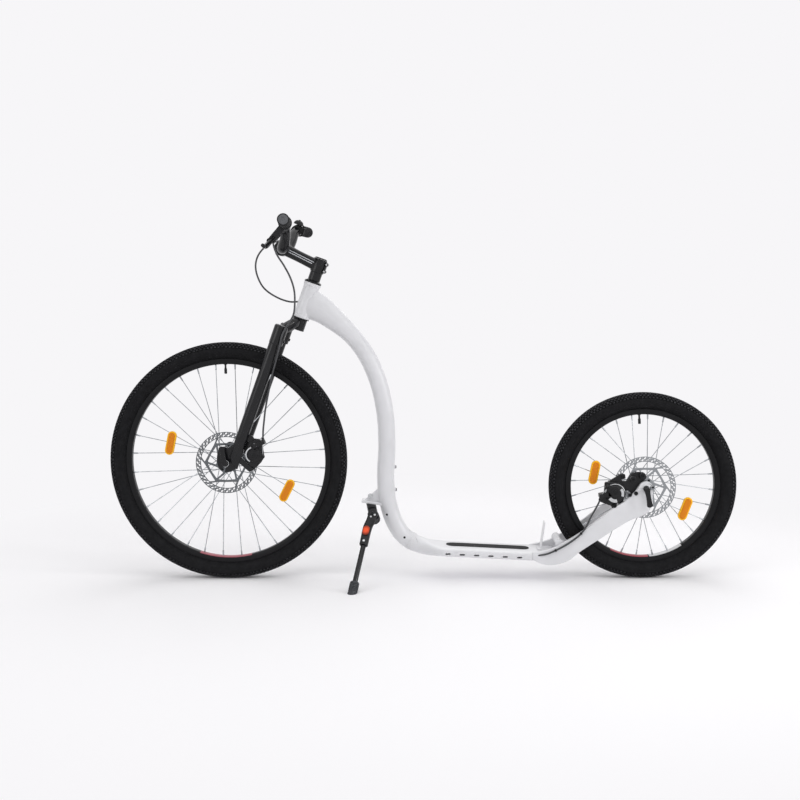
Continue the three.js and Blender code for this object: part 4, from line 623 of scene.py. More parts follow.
def reach(point, scale):
    """Distance from a point, in metres times scale."""
    def make(b):
        apart = add(b["tree"], "ShaderNodeVectorMath", {0: b["coords"], 1: point}, operation="SUBTRACT")
        far = add(b["tree"], "ShaderNodeVectorMath", {0: apart.outputs[0]}, operation="LENGTH")
        share = add(b["tree"], "ShaderNodeMath", {0: far.outputs["Value"], 1: scale}, operation="MULTIPLY")
        return share.outputs[0]
    return make


def button_middle():
    """Middle of the stand's release button, in metres."""
    return tuple(map(float, metres(at(LEG, (12.5, 0, BUTTON_Z)))))


def shade(code, factor):
    """A hex colour times a factor, kept within range."""
    return "#" + "".join("%02x" % max(0, min(255, round(int(code[i:i + 2], 16) * factor))) for i in (1, 3, 5))


def prisms(pitch_mm):
    """Small diamonds: distance to the nearest point of a square lattice turned by 45 degrees."""
    def make(b):
        turned_coords = add(b["tree"], "ShaderNodeMapping", {
            "Vector": b["coords"], "Rotation": (0, np.pi / 4, 0), "Scale": (1, 0, 1)})
        return add(b["tree"], "ShaderNodeTexVoronoi", {
            "Vector": turned_coords.outputs[0], "Scale": 1000 / pitch_mm, "Randomness": 0.0},
            distance="MANHATTAN").outputs["Distance"]
    return make


def rim_material(name, base, stripes, origin, edge):
    """Black rim with printed stripes: a stripe shows where the angle about the axle lies between its ends and
    the distance from the axle is less than the edge."""
    def colour(b):
        tree = b["tree"]
        middle = add(tree, "ShaderNodeMapping", {"Vector": b["coords"], "Location": origin})
        parts = add(tree, "ShaderNodeSeparateXYZ", {0: middle.outputs[0]})
        x, z = parts.outputs["X"], parts.outputs["Z"]
        angle = add(tree, "ShaderNodeMath", {0: z, 1: x}, operation="ARCTAN2").outputs[0]
        flat = add(tree, "ShaderNodeCombineXYZ", {"X": x, "Z": z})
        away = add(tree, "ShaderNodeVectorMath", {0: flat.outputs[0]}, operation="LENGTH").outputs["Value"]

        def both(first, second, operation="MULTIPLY"):
            return add(tree, "ShaderNodeMath", {0: first, 1: second}, operation=operation).outputs[0]
        near = both(away, edge, "LESS_THAN")
        grain = between(noise(30, 2), base, shade(base, 1.5))(b)
        for start, end, code in stripes:
            after = both(angle, np.radians(start), "GREATER_THAN")
            before = both(angle, np.radians(end), "LESS_THAN")
            mask = both(both(after, before), near)
            mix = add(tree, "ShaderNodeMix", {"Factor": mask, "A": grain, "B": linear(code)},
                      data_type="RGBA")
            grain = mix.outputs["Result"]
        return grain
    surface(name, {"Roughness": 0.36, "Specular IOR Level": 0.2}, colour, between(noise(8), 0.30, 0.44),
            (noise(0.8, 1), 0.05, 0.0002))


# ---------------------------------------------------------------- settings

def colour_setting(name, description, code):
    return bpy.props.FloatVectorProperty(name=name, description=description, subtype="COLOR",
                                         default=linear(code)[:3])


def length_setting(name, description, default):
    return bpy.props.FloatProperty(name=name, description=description, default=default, unit="LENGTH")


class KickBikeLooks(bpy.types.PropertyGroup):
    """Sizes and colours a user would change."""

    frame_colour: colour_setting("Frame colour", "Powder coat of the frame", "#dddde0")
    alloy_colour: colour_setting("Black parts", "Anodised and enamelled parts", "#121214")
    reflector_colour: colour_setting("Reflectors", "Colour of the spoke reflectors", "#ec8a10")
    button_colour: colour_setting("Stand button", "Colour of the release button", "#ff5a2c")
    floor_colour: colour_setting("Floor", "Colour of the floor and backdrop", "#fdfcfe")
    tread_pitch: length_setting("Tread pitch", "Length of a tread block and its groove", 0.0105)
    tread_depth: length_setting("Tread depth", "Height of the tread blocks", 0.003)
    spoke_gauge: length_setting("Spoke gauge", "Thickness of a spoke", 0.0022)
    rib_pitch: length_setting("Grip rib pitch", "Distance between the ribs of a grip", 0.0042)
    cable_gauge: length_setting("Cable gauge", "Thickness of a cable housing", 0.005)


def looks():
    return bpy.context.scene.kick_bike


# ---------------------------------------------------------------- wheels

# Spoke count and turn, the valve's angle, and each reflector's distance from the axle, angle and lean
FRONT_WHEEL = {"side": "front", "radius": 331.0, "count": 32, "phase": np.radians(6.7),
               "valve": np.radians(91),
               "place": FRONT, "reflectors": [(167.5, 162.2, 6), (182.5, -27.2, 0)]}
REAR_WHEEL = {"side": "rear", "radius": 259.0, "count": 28, "phase": np.radians(-3.9),
              "valve": np.radians(93),
              "place": REAR, "reflectors": [(138.5, 164.5, 4), (135, -28.9, 8)]}
# Radius of the spoke holes, and how deep the nipples end under the rim's edge
FLANGE_HOLES, NIPPLE_SEAT = 20.5, 15.3


def tyre_shape(wheel):
    """Tyre as one closed grid. Across: a smooth casing from bead to bead, then back inside. Round: a block
    pattern. A point stands out by the tread depth where its place round and its place across both lie on a
    block. The second result says for each corner how far it is up a block; the tyre's material paints a
    highlight there."""
    seat = wheel["radius"] - SEAT
    half = [(-6, 10.1), (0.3, 10.3), (5.5, 17.5), (13.8, 24.6), (26.7, 27.0), (36, 24.2), (42.4, 17.6),
            (45.4, 9.2), (46, 0)]
    casing = spline([(h, -y) for h, y in half] + [(h, y) for h, y in half[-2::-1]], 401)
    run = running(casing)
    middle = run[-1] / 2
    depth = looks().tread_depth / MM
    row, rows, wall = 6.6, 10, 15  # width and count of the tread's rows, and stations down each wall
    edges = (np.arange(rows) - rows / 2)[:, None] * row + np.array([0.06, 0.17, 0.83, 0.94]) * row
    tread = edges.ravel()
    side = np.linspace(-middle + 0.01, tread[0] - 1.0, wall)
    where = np.concatenate([side, tread, -side[::-1]])
    lift = np.pad(np.tile([0.0, 1.0, 1.0, 0.0], rows), wall)
    parity = np.pad(np.repeat(np.arange(rows) % 2, 4), wall)
    height = np.interp(where + middle, run, casing[:, 0])
    y = np.interp(where + middle, run, casing[:, 1])
    slope = units(np.stack([np.gradient(y, where), -np.gradient(height, where)], 1))
    # two raised lines on each wall: the rim line near the bead and the wear ring below the shoulder
    for ring, rise in ((6.5, 0.7), (23.0, 0.5)):
        lift_wall = rise * np.exp(-((np.abs(where) - (middle - ring)) / 0.9) ** 2)
        height, y = height + slope[:, 0] * lift_wall, y + slope[:, 1] * lift_wall
    pitches = int(round(TURN * wheel["radius"] / (looks().tread_pitch / MM)))
    step = np.array([0.0, 0.05, 0.10, 0.50, 0.55, 0.60])
    angles = ((np.arange(pitches)[:, None] + step) / pitches).ravel() * TURN
    even_rows = np.tile([0.0, 1.0, 1.0, 1.0, 1.0, 0.0], pitches)
    odd_rows = np.tile([1.0, 1.0, 0.0, 0.0, 1.0, 1.0], pitches)
    block = np.where(parity[:, None] == 0, even_rows, odd_rows) * lift[:, None]
    on_tread = (np.abs(where) < rows / 2 * row)[:, None]
    fade = np.clip((middle - np.abs(where) - 4) / 6, 0, 1)[:, None]
    sunk = np.where(on_tread, (block - 1) * depth, 0.0) * fade
    inner = np.array([(-6, 6.1), (10, 16), (26, 22), (40, 11), (41, -6), (26, -22), (10, -16), (-6, -6.1)])
    r = np.vstack([seat + height[:, None] + slope[:, :1] * sunk,
                   np.repeat(seat + inner[:, :1], len(angles), 1)])
    across = np.vstack([y[:, None] + slope[:, 1:] * sunk, np.repeat(inner[:, 1:], len(angles), 1)])
    points = np.stack([r * np.cos(angles), across, r * np.sin(angles)], -1)
    # corners on the block tops are marked for the painted highlight that the tyre's material lays on them
    worn = np.zeros(r.shape)
    worn[:len(where)] = block * on_tread
    return grid(at(wheel["place"], points), wrap_rows=True), worn.ravel()


def rim_shape(wheel):
    """Rim: a closed extruded section, rounded at its corners, turned about the axle. The valve stands through
    it."""
    seat = wheel["radius"] - SEAT
    half = [(0, 10.4), (1.2, 11.7), (0, 13), (-9, 13), (-13, 11.6), (-15, 8.5)]
    outside = half + [(r, -y) for r, y in half[::-1]]
    well = [(-2.2, -9.6), (-8, -8.6), (-11, -4), (-11, 4), (-8, 8.6), (-2.2, 9.6)]
    section = fillet([(seat + r, y) for r, y in outside + well], 0.8, 3, closed=True)
    ring = lathe(section, wheel["place"] @ ABOUT_Y, 240, closed=True)
    out = np.array([np.cos(wheel["valve"]), 0, np.sin(wheel["valve"])])
    tip, root = seat - 15 - 27, seat - 12.0
    foot = root - tip
    stem = [(0, 0), (2.6, 0), (3.7, 0.8), (3.9, 2), (3.9, 14), (3.3, 15), (2.7, 15.2), (2.7, foot - 5),
            (4.8, foot - 4.6), (4.8, foot - 2.2), (2.8, foot - 1.8), (2.8, foot), (0, foot)]
    return [ring], [lathe(stem, wheel["place"] @ aim(out * tip, out), 20)]


def spoke_ends(wheel):
    """Flange hole and rim place of every spoke, as the lacing over three crossings gives them."""
    count, phase = wheel["count"], wheel["phase"]
    step = 2 * TURN / count
    seat = wheel["radius"] - SEAT - NIPPLE_SEAT
    i = np.arange(count // 2)
    hand = np.where(i % 2, -1, 1)
    starts, ends = [], []
    for flange, side in ((-24.0, -1), (32.0, 1)):
        hub = phase + i * step + (step / 2 if side > 0 else 0)
        at_rim = hub + hand * 3 * step
        starts.append(np.insert(polar([(FLANGE_HOLES, a) for a in hub]), 1, flange + hand * 2.2, 1))
        ends.append(np.insert(polar([(seat, a) for a in at_rim]), 1, side * 2.0, 1))
    return np.vstack(starts), np.vstack(ends)


def spokes_shape(wheel):
    """All spokes at once: a radius profile along each line from hole to rim, thin on the way and wide at the
    nipple."""
    starts, ends = spoke_ends(wheel)
    heading = ends - starts
    length = np.linalg.norm(heading, axis=1)
    heading /= length[:, None]
    side = units(np.cross(heading, [0, 1.0, 0]))
    rise = np.cross(side, heading)
    thin = looks().spoke_gauge / MM / 2
    stations = np.array([-0.2, 0.0, 0.6, 1.6]), np.array([-14.5, -14.0, -13.2, -12.4, -2.0, 1.2])
    radii = np.array([1.0, 1.9, 2.0, thin, thin, 1.7, 2.1, 2.1, 2.3, 2.3])
    along = np.concatenate([np.broadcast_to(stations[0], (len(length), 4)), length[:, None] + stations[1]], 1)
    a = np.linspace(0, TURN, 8, endpoint=False)
    ring = np.cos(a)[None, :, None] * side[:, None] + np.sin(a)[None, :, None] * rise[:, None]
    spokes = (starts[:, None] + along[..., None] * heading[:, None])[:, :, None] + (
        radii[None, :, None, None] * ring[:, None])
    return [grid(at(wheel["place"], spoke), caps=True) for spoke in spokes]


def hub_shape():
    """Hub shell: a turned profile with two coned flanges, the rotor seat and the end noses."""
    left = [(11, -28.5), (24, -25.5), (24, -22.5), (12.5, -19.5)]
    right = [(12.5, 28), (24, 30.5), (24, 33.5), (13.5, 36)]
    profile = [(5.6, -39.5), (15, -39.5), (15, -38), (22.5, -38), (22.5, -34), (16, -33.2), (13, -30.5),
               *left, (11, -12), (11, 18), *right, (13.5, 38.5), (12, 39.5), (5.6, 39.5)]
    return fillet(profile, 0.9, 3)


ROTOR_BOLTS = 22.3  # radius of the six bolts' circle


def rotor_outlines():
    """Outline and openings of the rotor, in millimetres from its centre: two staggered rows of slanted slots
    and small holes in the track, six long outer windows with a bent inner side, and six inner windows between
    slanted arms."""
    openings = [hole(0, 0, 16.5, 48)]
    for base in np.arange(6) * TURN / 6:
        track = arc(0, 0, 71.0, base - 0.13, base + 0.83, 18)
        ring = polar([(60.5, base + 1.01), (54.0, base + 0.53), (60.5, base + 0.06)])
        openings.append(fillet(np.vstack([track, ring]), [3.0] + [0] * 16 + [3.0, 3.0, 5, 3.0], 4, True))
        inner = [(29.5, base + 0.44), (29.5, base + 1.24), (52.5, base + 1.0), (48.8, base + 0.53),
                 (52.5, base + 0.05)]
        openings.append(fillet(polar(inner), 3.0, 4, True))
        openings.append(hole(*polar([(ROTOR_BOLTS, base)])[0], 1.6, 12))
    for a in np.arange(36) * TURN / 36:
        for radius, small, way in ((80.7, 74.8, a), (75.3, 81.8, a + TURN / 72)):
            middle, slant = polar([(radius, way), (1.7, way + np.pi / 2 + 0.6)])
            openings.append(link(middle - slant, 2.1, middle + slant, 2.1, 6))
            openings.append(hole(*polar([(small, way)])[0], 1.15, 9))
    return hole(0, 0, 85, 181), openings


def flat_mesh(outline, openings, thickness):
    """A filled flat curve with holes, given thickness, as a mesh in the XY plane."""
    curve = bpy.data.curves.new("outline", "CURVE")
    curve.dimensions, curve.fill_mode, curve.extrude = "2D", "BOTH", thickness / 2 * MM
    curve.bevel_depth, curve.bevel_resolution = 0.12 * MM, 0
    for points in [outline, *openings]:
        line = curve.splines.new("POLY")
        line.points.add(len(points) - 1)
        co = np.column_stack([points * MM, np.zeros(len(points)), np.ones(len(points))])
        line.points.foreach_set("co", co.ravel())
        line.use_cyclic_u = True
    holder = bpy.data.objects.new("outline", curve)
    bpy.context.scene.collection.objects.link(holder)
    bpy.context.view_layer.update()
    mesh = bpy.data.meshes.new_from_object(holder.evaluated_get(bpy.context.evaluated_depsgraph_get()))
    bpy.data.objects.remove(holder)
    return mesh


def placed_mesh(mesh, matrix):
    """A mesh made in metres about zero, carried to its place: the matrix is in millimetres from the front
    axle."""
    co = np.empty(len(mesh.vertices) * 3, np.float32)
    mesh.vertices.foreach_get("co", co)
    mesh.vertices.foreach_set("co", metres(at(matrix, co.reshape(-1, 3) / MM)).astype(np.float32).ravel())
    tidy(mesh)
    return mesh


def reflector_shapes(wheel, place):
    """A reflector: a back shell and a crowned lens, both stadium outlines, seated on the left spokes. The
    lens rises by the root of one minus the inset share squared."""
    radius, angle, lean = place
    seat = wheel["radius"] - SEAT - NIPPLE_SEAT
    y = -24 + (radius - FLANGE_HOLES) / (seat - FLANGE_HOLES) * 22  # where the left spokes run at this radius
    angle, lean = np.radians(angle), np.radians(lean)
    matrix = wheel["place"] @ turned(angle + lean, (radius * np.cos(angle), 0, radius * np.sin(angle)))
    outline = link((0, -21), 12.5, (0, 21), 12.5, 20)
    shell = plate(outline, y - 3.4, y + 4.5, 1.2, matrix)
    rim = inset(outline, 3.4)
    lens = [raised(inset(rim, 4.0 * share), y - 3.2 - 1.3 * np.sqrt(1 - (1 - share) ** 2))
            for share in np.linspace(0, 1, 6)]
    rear = [raised(inset(outline, 3.0), y + 4.3), raised(rim, y + 5.0)]
    return shell, [grid(at(matrix, np.array(rings)), caps=True) for rings in (lens, rear)]


class KICKBIKE_OT_wheels(bpy.types.Operator):
    """Tyres, rims, hubs, spokes, rotors and reflectors of both wheels"""

    bl_idname = "kickbike.wheels"
    bl_label = "Wheels"

    def execute(self, context):
        outline, openings = rotor_outlines()
        for wheel in (FRONT_WHEEL, REAR_WHEEL):
            side, body, place = wheel["side"], f"{wheel['side']}_wheel", wheel["place"]
            casing, worn = tyre_shape(wheel)
            piece(f"{side}_tyre_casing", casing, "moulded_tyre_rubber", body, f"{side}_tyre", worn=worn)
            ring, valve = rim_shape(wheel)
            piece(f"{side}_rim_ring", ring, f"anodised_rim_{side}", body, f"{side}_rim")
            piece(f"{side}_valve", valve, "blackened_steel", body, None, "black_alloy")
            hub = lathe(hub_shape(), place @ ABOUT_Y, 72, closed=True)
            piece(f"{side}_hub_shell", hub, "turned_aluminium", body, f"{side}_hub_and_spokes")
            piece(f"{side}_spokes", spokes_shape(wheel), "drawn_stainless", body, f"{side}_hub_and_spokes")
            disc = placed_mesh(flat_mesh(outline, openings, 1.9), place @ shift(0, -39.3, 0) @ outward(0, 0))
            finished(f"{side}_rotor_disc", disc, f"ground_stainless_{side}", body, f"{side}_brake_rotor")
            heads = [socket_bolt((x, -40.0, z), LEFT, 3.2, 2.2, place)
                     for x, z in polar([(ROTOR_BOLTS, a) for a in np.arange(6) * TURN / 6])]
            piece(f"{side}_rotor_bolts", heads, "blackened_steel", body)
            for i, spot in enumerate(wheel["reflectors"], 1):
                shell, lens = reflector_shapes(wheel, spot)
                piece(f"{side}_reflector_{i}_shell", shell, "moulded_acrylic_yellow", body,
                      f"{side}_reflector_{i}")
                piece(f"{side}_reflector_{i}_lens", lens, "prismatic_acrylic_amber", body)
        return {"FINISHED"}


# ---------------------------------------------------------------- frame

SEAM_X, DECK_FRONT, DECK_REAR, YOKE_REAR = 507.0, (592.0, 81.7), (842.0, 69.0), 903.0
DECK_SLOPE = (DECK_REAR[1] - DECK_FRONT[1]) / (DECK_REAR[0] - DECK_FRONT[0])
TUBE_HALF, DECK_HALF_WIDTH, DECK_HALF_HEIGHT, HEAD_HALF_HEIGHT = 24, 62, 12.3, 45
TUBE_RUN = [(0.0, 1.0), (0.14, 0.97), (0.277, 0.925), (0.44, 0.861), (0.587, 0.774), (0.696, 0.662),
            (0.757, 0.534),
            (0.771, 0.4), (0.757, 0.281), (0.771, 0.183), (0.828, 0.093), (0.913, 0.03), (1.0, 0.0)]


def spine_points():
    """Centre line of the main tube and of the deck, as lists of points from the head to the yoke."""
    head_x = STEER[0, 3] + (771 - STEER[2, 3]) * np.tan(RAKE)
    tube = [(head_x + run * (SEAM_X - head_x), 0, 103 + drop * (771 - 103)) for run, drop in TUBE_RUN]
    dip = (SEAM_X + (DECK_FRONT[0] - SEAM_X) * 0.45, 0, DECK_FRONT[1] + (103 - DECK_FRONT[1]) * 0.28)
    deck = [(DECK_FRONT[0] + s * 250, 0, DECK_FRONT[1] + s * 250 * DECK_SLOPE)
            for s in (0, 0.25, 0.5, 0.75, 1)]
    return tube, [dip, *deck, (YOKE_REAR, 0, DECK_REAR[1] + DECK_SLOPE * (YOKE_REAR - DECK_REAR[0]))]


def spine():
    """Points and section of the whole spine: a round tube, tall at the head, that spreads into the flat deck
    by a smooth step of X."""
    tube, deck = spine_points()
    path = spline(tube + deck, 420)
    spread = eased(path[:, 0], SEAM_X, DECK_FRONT[0] + DECK_HALF_HEIGHT)
    run = running(path)
    flare = np.maximum(0, 1 - run / 186) ** 1.6
    wide = TUBE_HALF + (DECK_HALF_WIDTH - TUBE_HALF) * spread - 4.5 * np.clip(1 - run / 26, 0, 1) ** 2
    tall = TUBE_HALF + (DECK_HALF_HEIGHT - TUBE_HALF) * spread + (HEAD_HALF_HEIGHT - TUBE_HALF) * flare
    return path, wide, tall, 2 + 3 * spread


class KICKBIKE_OT_frame(bpy.types.Operator):
    """Main tube, deck, rear arms, head tube, bridge, heel guard and grip tape"""

    bl_idname = "kickbike.frame"
    bl_label = "Frame"

    def execute(self, context):
        path, wide, tall, square = spine()
        last = np.flatnonzero((path[:, 0] <= SEAM_X + 1) | (path[:, 2] > 200))[-1] + 1
        bosses, bolts = [], []
        for z in (312.0, 248.0):
            x = np.interp(z, path[:last, 2][::-1], path[:last, 0][::-1])
            bosses.append(lathe(fillet(box(0, 0, 6, 27), 0.8), aim((x, 0, z), (1, 0, 0)), 32))
            bolts.append(socket_bolt((x + 26.6, 0, z), (1, 0, 0), 4.3, 2.6))
        tube = sweep(path[:last], tall[:last], wide[:last], HERE, square[:last], 64, (0, 1, 0))
        piece("main_tube_skin", [tube, *bosses], "powder_coated_alloy_white", "frame", "main_tube")
        piece("cage_bolts", bolts, "blackened_steel", "frame")
        deck = sweep(path[last - 1:], tall[last - 1:], wide[last - 1:], HERE, square[last - 1:], 96,
                     (0, 1, 0))
        drilled(piece("deck_beam_skin", deck, "powder_coated_alloy_white", "frame", "deck_beam"),
                self.openings())
        # The seam's weld: the section swells by the height of a circle over its length
        lift = 1.3 * np.sqrt(np.maximum(0, 1 - (np.linspace(-3.2, 3.2, 11) / 3.3) ** 2))
        line = np.linspace(path[last - 3], path[last + 2], 11)
        weld = sweep(line, tall[last] + lift, wide[last] + lift, HERE, 2, 64, (0, 1, 0))
        piece("seam_weld", weld, "powder_coated_weld_bead", "frame")
        self.arms()
        self.head()
        self.fittings(path, wide, tall, square)
        self.plugs(path, wide, tall, square)
        return {"FINISHED"}

    def openings(self):
        """What is cut from the deck: six slots in each side wall, and a notch on each side for the rear
        arms."""
        cutters = []
        for x in np.linspace(609.8, 806.3, 6):
            z = DECK_FRONT[1] + DECK_SLOPE * (x - DECK_FRONT[0]) - 2.6
            for side in (-1, 1):
                slot = link((x - 5, z), 2.4, (x + 5, z), 2.4, 8)
                cutters.append(plate(slot, *sorted((side * 14, side * 70)), 0.01, HERE, 1))
        for side in (-1, 1):
            cutters.append(plate(box(841.7, 20, 930, 130), *sorted((side * 49.7, side * 80)), 0.01, HERE, 1))
        return cutters

    def plugs(self, path, wide, tall, square):
        """Two rubber plugs in the tube's left wall, and the bead of the deck joint that shows there. The wall
        stands out by the section's half width times the root, of its own power, of one minus the share of its
        half height."""
        def wall(x, z):
            k = np.argmin(np.hypot(path[:, 0] - x, path[:, 2] - z))
            off = np.array([x - path[k, 0], z - path[k, 2]])
            share = min(np.hypot(*off) / tall[k], 0.98)
            y = -wide[k] * (1 - share ** square[k]) ** (1 / square[k])
            out = np.array([off[0] / tall[k] ** 2, y / wide[k] ** 2, off[1] / tall[k] ** 2])
            return np.array([x, y, z]), out
        plug = [(0, -1.5), (3.2, -1.5), (3.2, 0.2), (2.5, 0.7), (0, 0.8)]
        shapes = [lathe(plug, aim(*wall(x, z)), 24) for x, z in ((441.1, 181.0), (489.7, 117.2))]
        piece("tube_plugs", shapes, "moulded_abs_black", "frame")
        joint = ((501.0, 136.7), (507.9, 130.2), (516.2, 121.8), (524.5, 110.5), (528.6, 100.0))
        line = spline([wall(x, z)[0] for x, z in joint], 40)
        piece("deck_joint_bead", sweep(line, 1.5, 1.5, HERE, 2, 12), "powder_coated_weld_bead", "frame")

    def arms(self):
        """Each arm is one plate: its outline runs through listed points, given in shares of the way from
        the deck to the axle and of the axle's height, and round the axle end with its slot."""
        lower = [(0.0, 0.24), (0.065, 0.2), (0.14, 0.182), (0.227, 0.19), (0.334, 0.239), (0.409, 0.313),
                 (0.584, 0.452), (0.87, 0.664), (0.99, 0.72), (1.04, 0.775), (1.06, 0.87)]
        upper = [(0.903, 0.965), (0.831, 0.88), (0.705, 0.784), (0.513, 0.606), (0.422, 0.529),
                 (0.295, 0.436), (0.205, 0.375), (0.091, 0.332), (0.0, 0.309)]
        x, z = REAR_AXLE[0], REAR_AXLE[2]
        end, slot = 19.5, 5.2  # radii of the arm's end and of the axle's slot
        lower, upper = (spline(np.array(line) * [x - DECK_REAR[0], z] + [DECK_REAR[0], 0], 60)
                        for line in (lower, upper))
        outline = np.vstack([lower, [(x + 18.8, z - slot)], arc(x, z, slot, -np.pi / 2, -3 * np.pi / 2, 14),
                             arc(x, z, end, np.arcsin(slot / end), np.radians(158), 24), upper])
        for side, name in ((1, "right"), (-1, "left")):
            arm = plate(outline, *sorted((side * DROPOUTS, side * 62.0)), 1.8)
            piece(f"{name}_rear_arm_plate", arm, "powder_coated_alloy_white", "frame", f"{name}_rear_arm",
                  smooth=30)
        bridge = [(0, -49.7), (12.5, -49.7), (11, -47), (11, 47), (12.5, 49.7), (0, 49.7)]
        piece("arm_bridge_tube", lathe(fillet(bridge, 1.2), shift(917, 0, 104) @ ABOUT_Y, 48),
              "powder_coated_alloy_white", "frame", "arm_bridge")

    def head(self):
        """Head tube, cups and bearings, turned about the steering axis."""
        bottom, top = 441 + 3.1, HEAD_TOP - 2.8
        tube = [(18.9, bottom), (24, bottom), (24, bottom + 7), (22, bottom + 9.5), (22, top - 9.5),
                (24, top - 7), (24, top), (18.9, top)]
        piece("head_tube_shell", lathe(fillet(tube, 0.8), STEER, 96, closed=True),
              "powder_coated_alloy_white", "frame",
              "head_tube")
        for name, face, level in (("upper", HEAD_TOP, -1), ("lower", 441.3, 1)):
            lip, rim, skirt = face + level * 0.6, face + level * 2.5, face + level * 12.5
            cup = [(17.1, face), (23.4, face), (24, lip), (24, rim), (18.6, rim), (18.6, skirt),
                   (17.1, skirt)]
            piece(f"{name}_cup_ring", lathe(cup, STEER, 64, closed=True), "anodised_aluminium_black", "frame",
                  f"{name}_headset_cup")
            race = box(14.7, rim, 16.7, face + level * 9.5)
            piece(f"{name}_bearing_ring", lathe(race, STEER, 48, closed=True), "turned_aluminium", "frame",
                  f"{name}_headset_bearing")

    def fittings(self, path, wide, tall, square):
        """Grip tape on the crown of the deck, with round ends, and the heel guard of bent sheet."""
        front, rear, half = 605, 836, 20
        zone = (path[:, 0] > 598) & (path[:, 0] < 846) & (path[:, 2] < 200)
        ease = half * (1 - np.cos(np.linspace(0.12, np.pi / 2, 12)))
        stations = np.concatenate([front + ease, np.linspace(628, 813, 36), rear - ease[::-1]])
        line = np.stack([np.interp(stations, path[zone, 0], path[zone, k]) for k in range(3)], 1)
        w, t, sq = (np.interp(stations, path[zone, 0], v[zone])[:, None] for v in (wide, tall, square))
        end = np.clip(np.minimum(stations - front, rear - stations) / half, 0, 1)
        y = np.linspace(-half, half, 25) * np.sqrt(1 - (1 - end) ** 2)[:, None]
        top = t * (1 - np.abs(y / w) ** sq) ** (1 / sq)
        tangent = units(np.gradient(line, axis=0))
        up = np.stack([-tangent[:, 2], tangent[:, 1], tangent[:, 0]], 1)
        faces = []
        for above in (1.6, 0.25):
            skin = line[:, None] + (top + above)[..., None] * up[:, None]
            skin[..., 1] = y
            faces.append(skin)
        tape = np.concatenate([faces[0], faces[1][:, ::-1]], 1)
        piece("deck_tape", grid(tape, caps=True), "gritted_tape_black", "frame", "deck_grip_tape",
              "black_rubber")
        refined("heel_guard", "powder_coated_alloy_white", "frame", 0.5, 20)


# ---------------------------------------------------------------- steering

# The bar's centre line from the middle to the right end: shares of its sweep, of its half width and of its
# rise
BAR_RUN = [(0.0, 0.0, 0.0), (0.16, 0.1, 0.0), (0.4, 0.17, 0.06), (0.46, 0.255, 0.4), (0.3, 0.34, 0.74),
           (0.3, 0.435, 0.9), (0.46, 0.62, 0.947), (0.715, 0.81, 0.973), (1.0, 1.0, 1.0)]
BAR_HALF = 305
COVER_TOP = HEAD_TOP + GAP + 5
STEM_BOTTOM = COVER_TOP + GAP + 22.4 + GAP
STEM_TOP = STEM_BOTTOM + 38
STEM_MIDDLE = (STEM_BOTTOM + STEM_TOP) / 2
BAR_CENTRE = np.array([-109.4, 0, STEM_MIDDLE + 11.4])
PERCH_Y, PIVOT_OUT = 152, 48  # where a lever's perch holds the bar, and how far its pivot stands off
LEVER_TILT = np.radians(249.6)
LEVER_OUT = np.array([np.cos(LEVER_TILT), 0, np.sin(LEVER_TILT)])
LEVER_AXIS = np.array([-LEVER_OUT[2], 0, LEVER_OUT[0]])


def bar_path(count=361):
    """Centre line of the handlebar, even lengths, left end to right end."""
    right = [(BAR_CENTRE[0] + s * 16.5, r * BAR_HALF, BAR_CENTRE[2] + z * 69.3) for s, r, z in BAR_RUN]
    return spline([(x, -y, z) for x, y, z in right[:0:-1]] + right, count)


def bar_point(y):
    """Point of the bar at a distance to the right of the middle."""
    path = bar_path()
    return np.array([np.interp(y, path[:, 1], path[:, k]) for k in range(3)])


def flipped(shapes):
    """Shapes mirrored across the middle plane, Y to minus Y."""
    return [(corners * [1, -1, 1], loops, sizes) for corners, loops, sizes in shapes]


# A fork leg's place before the steerer, its lower end and its length
LEG_LEAD, LEG_FOOT, LEG_RISE = -35.0, 56.0, 352.0


